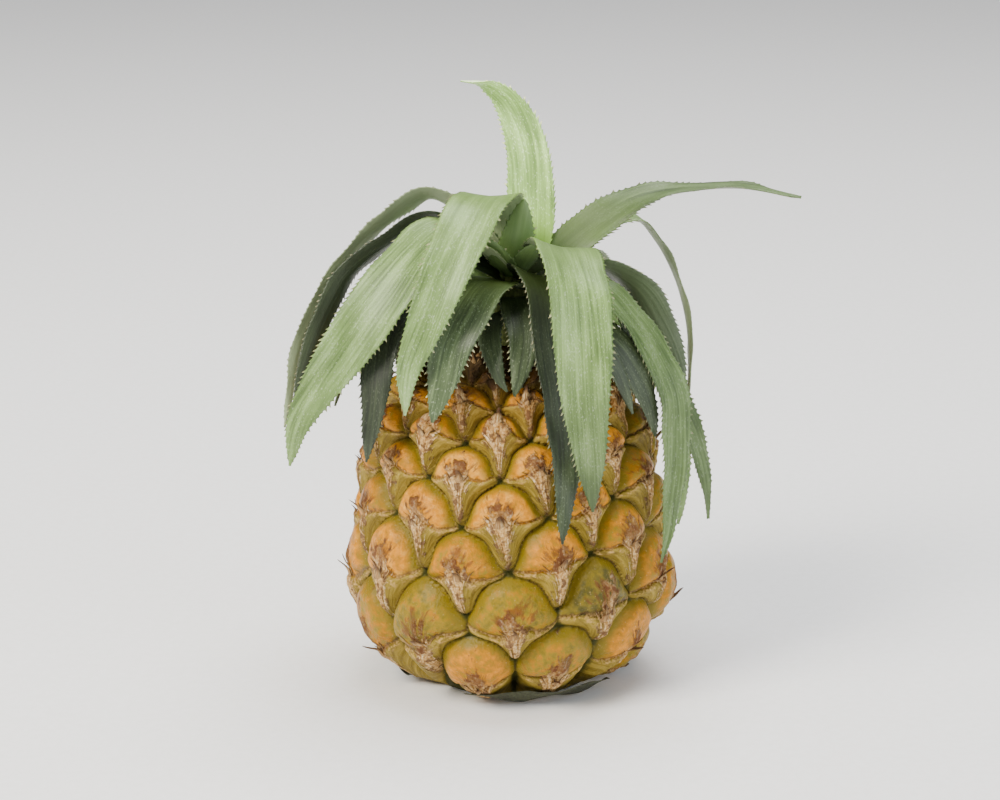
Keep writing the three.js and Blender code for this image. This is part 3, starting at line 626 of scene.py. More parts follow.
def paper_material():
    """Dry tip of a bract, grown and withered: thin tan paper with fibres, brown at its point."""
    material, tree = start_material("withered bract, papery")
    flake = add(tree, "ShaderNodeAttribute", {"attribute_name": "flake"}).outputs["Vector"]
    parts = add(tree, "ShaderNodeSeparateXYZ", links={"Vector": flake}).outputs
    along, across, tone = parts["X"], parts["Y"], parts["Z"]
    # Fibres 0.4 mm apart along the flake; real ones are finer
    wide = add(tree, MATH, {"operation": "MULTIPLY", 1: 5.0}, {0: across})
    own = add(tree, MATH, {"operation": "MULTIPLY", 1: 30.0}, {0: tone})
    fibre_place = add(tree, "ShaderNodeCombineXYZ", links={"X": wide, "Y": along, "Z": own})
    fibre = add(tree, NOISE, {"Scale": 1.0, "Detail": 4.0}, {"Vector": fibre_place})
    colour = add(tree, RAMP, links={"Fac": fibre}, stops=[
        (0.32, "#6e4c28"), (0.50, "#9c7847"), (0.66, "#c9ad7e")])
    tip = add(tree, MATH, {"operation": "MULTIPLY_ADD", 1: 0.5, 2: -0.25}, {0: fibre})
    tip = add(tree, MATH, {"operation": "ADD"}, {0: along, 1: tip})
    brown = add(tree, RANGE, {**SOFT, "From Min": 0.30, "From Max": 0.80, "To Max": 0.9},
                {"Value": tip})
    colour = add(tree, MIX, {**COLOURS, SECOND: paint("#4c2f18")}, {0: brown, FIRST: colour})
    bump = add(tree, "ShaderNodeBump", {"Strength": 0.6, "Distance": 0.2 * MM}, {"Height": fibre})
    shader = add(tree, "ShaderNodeBsdfPrincipled", {"Roughness": 0.8, "IOR": 1.45},
                 {"Base Color": colour, "Normal": bump})
    add(tree, "ShaderNodeOutputMaterial", links={"Surface": shader})
    return material


def leaf_material(name, blade, scurfy, fresh, under, scurf_share):
    """Crown leaf, grown: fine ribs along it, whitish scurf over them, and a silvery underside.

    The ribs break the light into long thin streaks, and the scurf dulls it and greys the green.
    """
    material, tree = start_material(name)
    measure = add(tree, "ShaderNodeAttribute", {"attribute_name": "blade_mm"}).outputs["Vector"]
    measure = add(tree, "ShaderNodeSeparateXYZ", links={"Vector": measure}).outputs
    along, across, tone = measure["X"], measure["Y"], measure["Z"]
    share = add(tree, "ShaderNodeAttribute", {"attribute_name": "blade_share"}).outputs["Vector"]
    share = add(tree, "ShaderNodeSeparateXYZ", links={"Vector": share}).outputs
    reach, tooth, side = share["X"], share["Y"], share["Z"]
    look = add(tree, "ShaderNodeAttribute", {"attribute_name": "blade_look"}).outputs["Vector"]
    look = add(tree, "ShaderNodeSeparateXYZ", links={"Vector": look}).outputs
    own = add(tree, MATH, {"operation": "MULTIPLY", 1: 90.0}, {0: tone})

    # Ribs 0.7 mm apart and 30 mm long, and scurf in patches of 4 by 14 mm, made of flecks of 0.35
    # by 0.8 mm. The real ribs are nearer 0.4 mm and too fine to show
    patterns = []
    for apart, long, detail in ((0.7, 30.0, 3.0), (4.0, 14.0, 2.0), (0.35, 0.8, 2.0)):
        over = add(tree, MATH, {"operation": "DIVIDE", 1: apart}, {0: across})
        down = add(tree, MATH, {"operation": "DIVIDE", 1: long}, {0: along})
        place = add(tree, "ShaderNodeCombineXYZ", links={"X": over, "Y": down, "Z": own})
        patterns.append(add(tree, NOISE, {"Scale": 1.0, "Detail": detail}, {"Vector": place}))
    rib, patch, fleck = patterns

    streak = add(tree, MIX, {0: 0.45}, {2: rib, 3: patch})
    colour = add(tree, RAMP, links={"Fac": streak}, stops=[
        (0.36, blade[0]), (0.50, blade[1]), (0.64, blade[2])])
    scurf = add(tree, MIX, {0: 0.8}, {2: patch, 3: fleck})
    scurf = add(tree, RANGE, {**SOFT, "From Min": 0.62 - 0.2 * scurf_share,
                              "From Max": 0.78 - 0.2 * scurf_share, "To Max": 0.55}, {"Value": scurf})
    colour = add(tree, MIX, {**COLOURS, SECOND: paint(scurfy)}, {0: scurf, FIRST: colour})
    young = add(tree, RANGE, {**SOFT, "From Max": 0.10, "To Max": 0.75},
                {"Value": reach, "From Min": look["Y"]})
    colour = add(tree, MIX, {**COLOURS, SECOND: paint(fresh)}, {0: young, FIRST: colour})
    below = add(tree, RANGE, {**SOFT, "From Min": 0.5, "From Max": 0.7, "To Max": 0.8}, {"Value": side})
    silver = add(tree, MIX, {**COLOURS, FIRST: paint(under[0]), SECOND: paint(under[1])}, {0: rib})
    colour = add(tree, MIX, COLOURS, {0: below, FIRST: colour, SECOND: silver})
    # The spines are straw coloured at their points
    spine = add(tree, RANGE, {**SOFT, "From Min": 0.25, "From Max": 0.9, "To Max": 0.85},
                {"Value": tooth})
    colour = add(tree, MIX, {**COLOURS, SECOND: paint("#c6c295")}, {0: spine, FIRST: colour})
    # Painted light and shade: the colour's value is scaled by each leaf's own factor, which stands in for
    # the light that falls on it
    colour = add(tree, "ShaderNodeHueSaturation", links={"Color": colour, "Value": look["X"]})
    bump_height = add(tree, MIX, {0: 0.3}, {2: rib, 3: fleck})
    bump = add(tree, "ShaderNodeBump", {"Strength": 0.7, "Distance": 0.25 * MM},
               {"Height": bump_height})
    rough = add(tree, RANGE, {"To Min": 0.42, "To Max": 0.62}, {"Value": scurf})
    shader = add(tree, "ShaderNodeBsdfPrincipled", {"IOR": 1.45},
                 {"Base Color": colour, "Roughness": rough, "Normal": bump})
    add(tree, "ShaderNodeOutputMaterial", links={"Surface": shader})
    return material


def woody_material(name, pale, dark, grain):
    """Cut or dried plant tissue: dull, with fibres grain millimetres apart that catch the light."""
    material, tree = start_material(name)
    place = add(tree, "ShaderNodeTexCoord").outputs["Object"]
    stretched = add(tree, "ShaderNodeMapping", {"Scale": (1.0, 1.0, 0.2)}, {"Vector": place})
    fibre = add(tree, NOISE, {"Scale": PER_MM / grain, "Detail": 4.0}, {"Vector": stretched})
    patch = add(tree, NOISE, {"Scale": PER_MM / 6, "Detail": 2.0}, {"Vector": place})
    tone = add(tree, MIX, {0: 0.4}, {2: fibre, 3: patch})
    colour = add(tree, RAMP, links={"Fac": tone}, stops=[(0.35, dark), (0.62, pale)])
    bump = add(tree, "ShaderNodeBump", {"Strength": 0.8, "Distance": 0.3 * MM}, {"Height": fibre})
    shader = add(tree, "ShaderNodeBsdfPrincipled", {"Roughness": 0.85, "IOR": 1.45},
                 {"Base Color": colour, "Normal": bump})
    add(tree, "ShaderNodeOutputMaterial", links={"Surface": shader})
    return material


def make_rind(material):
    """The whole rind as one grid of turn by reach, closed under the base round the stem's socket
    and over the top, with its relief added along the wall's normal."""
    turns = np.linspace(-np.pi, np.pi, RIND_COLUMNS, endpoint=False)
    reach, turn = np.meshgrid(np.linspace(0, WALL_LENGTH, RIND_ROWS), turns, indexing="ij")
    cell = fruitlet_at(turn, reach)
    wall = wall_point(turn, reach, rind_relief(cell, turn, reach))
    wall[..., 2] = np.maximum(wall[..., 2], 0)

    socket_radius = STEM_RADIUS + GAP
    socket_depth = STEM_DEPTH + GAP
    # The socket's wall with a slightly rounded edge, the flat base, and the flat top
    below = [turned(socket_radius - SOCKET_TAPER, turns, socket_depth),
             turned(socket_radius, turns, 0.2), turned(socket_radius + 0.5, turns, 0)]
    below += [turned(radius, turns, 0) for radius in BASE_RINGS]
    over = [turned(radius, turns, TOP_HEIGHT) for radius in TOP_RINGS]
    points, faces = close_rings(np.concatenate([below, wall, over]))

    def spread(values):
        """The wall's values, carried on over the rings below and over it and to the poles."""
        full = np.concatenate([np.repeat(values[:1], len(below), axis=0), values,
                               np.repeat(values[-1:], len(over), axis=0)])
        return np.append(full.ravel(), [values[0, 0], values[-1, 0]])

    fields = {
        "fruitlet": np.stack([spread(cell["above"]), spread(scurf_at(cell)), spread(cell["rim"])], -1),
        "fruitlet_place": np.stack([spread(cell["across"]), spread(cell["up"]),
                                    spread(cell["chance"][..., TONE])], -1),
    }
    return make_piece("rind", points, faces, fields, material, ["fruit"])


def tip_centres():
    """Row numbers of every fruitlet that bears dry tips, from above the base to the crown."""
    steep, flat = np.meshgrid(np.arange(-20, 21), np.arange(-20, 21))
    steep = steep.ravel()
    flat = flat.ravel()
    index = -ROWS_STEEP * steep - ROWS_FLAT * flat
    turn = FIRST_TURN + steep * TURN_STEEP + flat * TURN_FLAT
    kept = (turn >= -180) & (turn < 180) & (index >= LOWEST_FRUITLET) & (index < LAST_TIP)
    return steep[kept], flat[kept], index[kept]


def strands(steep, flat, across, up, ahead, lean, half, lift, saw, tone):
    """Slender dry strands that grow up the rind, each a flat diamond section at 9 stations.

    In its fruitlet's own measure a strand starts at (across, up), runs ahead and leans sideways
    as t^1.5. Its half width falls as (1 - t)^0.5, with teeth of a share saw on every other
    station, and its thickness with it. Its root lies in the rind, as (1 - t)^6, and it follows
    the rind and then lifts off it as t^2.
    """
    stations = 9
    t = np.linspace(0, 1, stations)[None, :, None]
    loop_across = np.array([-1.0, 0.0, 1.0, 0.0])[None, None, :]
    loop_level = np.array([0.0, 1.0, 0.0, -1.0])[None, None, :]
    steep, flat, across, up, ahead, lean, half, lift, saw, tone = [
        np.asarray(value, dtype=float)[:, None, None] * np.ones((1, stations, 1))
        for value in (steep, flat, across, up, ahead, lean, half, lift, saw, tone)]
    toothed = 1 + saw * (np.arange(stations) % 2)[None, :, None]
    wide = half * (1 - t) ** 0.5 * toothed + 0.003
    own_across = across + lean * t ** 1.5 + loop_across * wide
    own_up = up + ahead * t
    own_steep = steep + (own_across - own_up) / 2
    own_flat = flat - (own_across + own_up) / 2
    turn, reach = lattice_place(own_steep, own_flat)
    drift = sway(turn, reach)
    turn, reach = lattice_place(own_steep - drift[0] - BULGE / 2, own_flat - drift[1] - BULGE / 2)
    relief = rind_relief(fruitlet_at(turn, reach), turn, reach)
    relief = relief.mean(axis=-1, keepdims=True) + loop_level * (0.08 + 5 * wide)
    points = wall_point(turn, reach, relief + 0.2 - 0.6 * (1 - t) ** 6 + lift * t ** 2)
    shape = points.shape[:3]
    field = np.stack([np.broadcast_to(value, shape) for value in (t, loop_across, tone)], axis=-1)
    return points, field


def make_tips(material):
    """The dry tips of the bracts: four frayed strands a fruitlet, the one in the middle curled up
    most, and in the high rows a long spine with a sawed edge."""
    steep, flat, index = tip_centres()
    count = len(steep)
    chance = np.random.default_rng(5).random((count, 4, 5))
    reach = lattice_place(steep, flat)[1]
    grown = smooth((reach - 14) / 16)[:, None]
    starts = np.array([-0.16, 0.0, 0.15, 0.05])[None, :]
    leans = np.array([-0.20, 0.02, 0.20, -0.08])[None, :]
    central = np.array([0.0, 1.0, 0.0, 0.15])[None, :]
    across = starts + 0.10 * (chance[..., 0] - 0.5)
    up = SMILE_HEIGHT - lip_sinking(reach)[:, None] - 0.10 + 0.08 * chance[..., 1]
    ahead = (0.16 + 0.14 * chance[..., 2]) * (0.5 + 0.5 * grown)
    lean = leans * (0.6 + 0.8 * chance[..., 3])
    half = 0.014 + 0.012 * chance[..., 1] + 0.085 * central
    lift = (0.05 + 3.0 * central * (0.3 + 0.7 * grown)) * (0.6 + 0.8 * chance[..., 4])
    saw = np.zeros((count, 4))
    tone = chance[..., 2] * (1 - 0.8 * central)
    spread = np.ones((1, 4))
    frayed = strands(*[values.ravel() for values in (
        steep[:, None] * spread, flat[:, None] * spread, across, up, ahead, lean, half, lift, saw,
        tone)])
    spined = high_row(reach) > 0.3
    pick = chance[spined, 0]
    arched = is_arched(index[spined]) * 1.0
    spines = strands(
        steep[spined], flat[spined], across=0.06 * (pick[:, 0] - 0.5), up=-0.12 + 0.35 * arched,
        ahead=0.40 + 0.35 * pick[:, 1] + 0.15 * arched, lean=0.15 * (pick[:, 2] - 0.5),
        half=0.10 + 0.06 * pick[:, 3] + 0.03 * arched, lift=1.2 + 2.2 * pick[:, 4],
        saw=np.full(len(pick), 0.35), tone=pick[:, 2] * 0.3)
    points, field = [np.concatenate([a, b]) for a, b in zip(frayed, spines)]
    total, stations, around = points.shape[:3]
    size = stations * around
    tube = grid_quads(stations, around, True)[:, ::-1]
    ends = [np.arange(around), np.arange(size - around, size)[::-1]]
    offsets = np.arange(total)[:, None, None] * size
    faces = [(tube[None] + offsets).reshape(-1, 4)]
    faces += [(end[None, None, :] + offsets).reshape(-1, around) for end in ends]
    return make_piece("bract_tips", points.reshape(-1, 3), faces, {"flake": field.reshape(-1, 3)},
                      material)


def lathe_rows(profile, columns, wave):
    """A profile of radius and height turned about the axis, with wave added to each radius."""
    turns = np.linspace(0, 2 * np.pi, columns, endpoint=False)
    radius = np.array([row[0] for row in profile], dtype=float)[:, None]
    height = np.array([row[1] for row in profile], dtype=float)[:, None]
    grown = radius + wave(turns[None, :], height) * (radius > 1)
    return turned(grown, turns, height)


def make_cut_stem(material):
    """The cut end of the fruit's stem: a short plug whose lower face has fibre ends."""
    profile = [(1.5, 0.30), (4, 0.25), (7, 0.2), (9.6, 0.1), (10.7, 0.25), (STEM_RADIUS, 0.8),
               (STEM_RADIUS - 0.6, STEM_DEPTH - 0.2), (STEM_RADIUS - 1.2, STEM_DEPTH), (5, STEM_DEPTH)]
    rows = lathe_rows(profile, 96, lambda turn, height: 0.12 * np.sin(17 * turn) * (height > 0.5) - 0.12)
    rows[:4, :, 2] += 0.09 * ripple(rows[:4], 1.6, 8)
    points, faces = close_rings(rows)
    return make_piece("cut_stem", points, faces, {}, material, ["cut_stem"])


def make_crown_stem(material):
    """The crown's stem: the frame's outline with the shallow scars that ring it under each leaf."""
    heights = np.linspace(CROWN_STEM[0][1], CROWN_STEM[-1][1], 60)
    radii = np.interp(heights, [row[1] for row in CROWN_STEM], [row[0] for row in CROWN_STEM])

    def scars(turn, height):
        """Shallow rings whose height wavers round the stem."""
        return 0.25 * np.sin(height * 2.1 + 2 * np.sin(turn * 3)) - 0.25

    points, faces = close_rings(lathe_rows(list(zip(radii, heights)), 72, scars))
    return make_piece("crown_stem", points, faces, {}, material, ["crown_stem"])


def route_curve(route):
    """Points along a centripetal spline through the route: cubic pieces whose end slopes weigh
    each neighbour by the square root of its distance. Gives dense points and their lengths."""
    route = np.array(route, dtype=float)
    knots = np.concatenate([[2 * route[0] - route[1]], route, [2 * route[-1] - route[-2]]])
    p0, p1, p2, p3 = knots[:-3], knots[1:-2], knots[2:-1], knots[3:]
    d0, d1, d2 = [np.sqrt(np.linalg.norm(b - a, axis=1, keepdims=True))
                  for a, b in ((p0, p1), (p1, p2), (p2, p3))]
    start = ((p1 - p0) / d0 - (p2 - p0) / (d0 + d1) + (p2 - p1) / d1) * d1
    end = ((p2 - p1) / d1 - (p3 - p1) / (d1 + d2) + (p3 - p2) / d2) * d1
    u = np.linspace(0, 1, 40, endpoint=False)[None, :, None]
    a, b, s, e = p1[:, None], p2[:, None], start[:, None], end[:, None]
    pieces = a + s * u + (3 * b - 3 * a - 2 * s - e) * u ** 2 + (2 * a - 2 * b + s + e) * u ** 3
    points = np.concatenate([pieces.reshape(-1, 3), route[-1:]])
    lengths = np.append(0, np.cumsum(np.linalg.norm(np.diff(points, axis=0), axis=1)))
    return points, lengths


def blade_share(t):
    """Share of the full width along a leaf: a clasping base, then a long taper to the tip."""
    opening = np.sin(np.clip(t / 0.3, 0, 1) * np.pi / 2)
    return (BASE_SHARE + (1 - BASE_SHARE) * opening) * (1 - t ** 2.2) ** 0.8


def tooth_stations(length, chance):
    """Places along a leaf, four to a tooth, and how far each margin stands out there.

    A tooth rises slowly towards the leaf's tip and falls back fast; the right margin's teeth
    stand half a pitch after the left one's.
    """
    teeth = max(6, round(length / TOOTH_PITCH))
    steps = np.array([0.0, 0.42, 0.78, 0.92])
    rise = np.array([0.0, 0.28, 1.0, 0.22])
    t = ((np.arange(teeth)[:, None] + steps) / teeth).ravel()
    sizes = chance.uniform(0.25, 1.2, (2, teeth, 1))
    left = (rise * sizes[0]).ravel()
    right = np.roll((rise * sizes[1]).ravel(), 2)
    fade = smooth(t / 0.08) * smooth((1 - t) / 0.03)
    t = np.append(t, 1.0)
    return t, np.append(left * fade, 0), np.append(right * fade, 0)


def leaf_axes(dense, lengths, t, face, roll):
    """The midrib's places at t, and the directions there along it, across the blade and out of it.

    The blade lies level across the midrib, square to the side it faces, and is then rolled
    about the midrib.
    """
    places = t * lengths[-1]
    slopes = np.gradient(dense, lengths, axis=0)
    centre, along = [np.stack([np.interp(places, lengths, values[:, axis]) for axis in range(3)], -1)
                     for values in (dense, slopes)]
    along /= np.linalg.norm(along, axis=1, keepdims=True)
    facing = math.radians(face)
    level = np.array([-math.sin(facing), math.cos(facing), 0])
    flat = level - (along @ level)[:, None] * along
    flat /= np.linalg.norm(flat, axis=1, keepdims=True)
    turn = np.radians(np.interp(t * 3, range(4), roll))[:, None]
    side = flat * np.cos(turn) + np.cross(along, flat) * np.sin(turn)
    return centre, along, side, np.cross(along, side)


def make_leaf(name, kind, face, width, roll, route, materials):
    """One crown leaf: a closed section carried along its midrib.

    Across the blade the margins are lifted over the midrib as |s|^1.4, and wave gently; the
    thickness falls from the midrib to a sharp margin, where the teeth stand out and lean ahead.
    """
    seed = sum(ord(letter) * (place + 1) for place, letter in enumerate(name))
    chance = np.random.default_rng(seed)
    dense, lengths = route_curve(route)
    length = lengths[-1]
    t, left, right = tooth_stations(length, chance)
    centre, along, side, normal = leaf_axes(dense, lengths, t, face, roll)

    half = np.maximum(width / 2 * blade_share(t), MARGIN_THICKNESS)[:, None]
    s = np.array([-1, -0.94, -0.7, -0.38, 0, 0.38, 0.7, 0.94, 1])[None, :]
    spine = np.zeros((len(t), s.size))
    spine[:, 0] = left
    spine[:, -1] = right
    teeth = spine * TOOTH_REACH * np.clip(half / 4, 0.35, 1)
    out = s * half + np.sign(s) * (teeth + MARGIN_REACH)
    mid = BLADE_THICKNESS + (BLADE_TIP_THICKNESS - BLADE_THICKNESS) * t[:, None]
    thick = MARGIN_THICKNESS + (mid - MARGIN_THICKNESS) * (1 - np.abs(s) ** 1.6)
    thick = np.minimum(thick, half * 0.6)
    waves = [np.sin(2 * np.pi * t * length / wave + phase)
             for wave, phase in zip((23, 15), chance.uniform(0, 6, 2))]
    wave = (0.30 * waves[0] * s[0, :, None] ** 2 + 0.22 * waves[1] * s[0, :, None] ** 3).T
    lift = CHANNEL * 2 * half * np.abs(s) ** 1.4 + wave * smooth(t / 0.2)[:, None]

    def sheet(offset):
        """One face of the blade, offset from its middle, with the teeth leaning ahead."""
        rows = centre[:, None] + side[:, None] * out[..., None] + normal[:, None] * offset[..., None]
        return rows + along[:, None] * teeth[..., None]

    knife = np.ones_like(s)
    knife[:, [0, -1]] = 0
    upper = sheet(lift + thick / 2 * knife)
    lower = sheet(lift - thick / 2 * knife)[:, -2:0:-1]
    loop = np.concatenate([upper, lower], axis=1)
    around = loop.shape[1]
    count = len(t)
    faces = [grid_quads(count, around, True)[:, ::-1], [list(range(around))],
             [list(range(around * (count - 1), around * count))[::-1]]]

    def ring(top, bottom):
        """Values of the upper and the lower face, in the order of the section's points."""
        return np.concatenate([top, bottom[:, -2:0:-1]], axis=1).ravel()

    mm_along = np.broadcast_to((t * length)[:, None], out.shape)
    share_along = np.broadcast_to(t[:, None], out.shape)
    tone = np.full(out.shape, chance.random())
    bright, fresh = LEAF_LOOKS.get(name, USUAL_LOOK)
    shares = ring(share_along, share_along)
    # Painted light and shade: this leaf's brightness factor, varied along its length for some leaves
    shaded = bright * (1 + PAINTED_LIGHT_FALLS.get(name, 0.0) * (0.5 - 2 * np.abs(shares - 0.45)))
    top_side = np.where(np.abs(s) < 1, 0.0, 0.5) * np.ones(out.shape)
    fields = {
        "blade_mm": np.stack([ring(mm_along, mm_along), ring(out, out), ring(tone, tone)], -1),
        "blade_share": np.stack([shares, ring(spine, spine), ring(top_side, np.ones(out.shape))], -1),
        "blade_look": np.stack([shaded, np.full_like(shares, fresh), np.zeros_like(shares)], -1),
    }
    return make_piece(name.replace("leaf", "blade"), loop.reshape(-1, 3), faces, fields,
                      materials[kind], [name])


# How bright each leaf is painted, as painted light and shade for the light that falls on it where it
# stands (leaf_tall as though lit from behind), and the share of their length that is fresher green from
# the root
USUAL_LOOK = (1.0, 0.34)
LEAF_LOOKS = {
    "leaf_tall": (2.7, 0.30), "leaf_right_long": (0.52, 0.60), "leaf_front_wide": (0.84, 0.50),
    "leaf_left_fold": (1.05, 0.62), "leaf_left_wide": (1.0, 0.30), "leaf_left_outer": (0.8, 0.34),
    "leaf_right_curved": (0.60, 0.34), "leaf_right_low": (0.67, 0.34), "leaf_front_left": (1.85, 0.5),
    "leaf_low_left": (0.48, 0.34), "leaf_front_behind": (0.68, 0.40), "leaf_heart": (1.15, 0.9),
    "leaf_right_dark": (1.65, 0.55), "leaf_left_dark": (0.7, 0.3), "leaf_right_thin": (0.85, 0.3),
}
# Painted light and shade along two leaves: by what share they are brighter at 45 % of their length than at
# both ends; below 0, darker
PAINTED_LIGHT_FALLS = {"leaf_front_wide": 0.95, "leaf_right_long": -0.2}

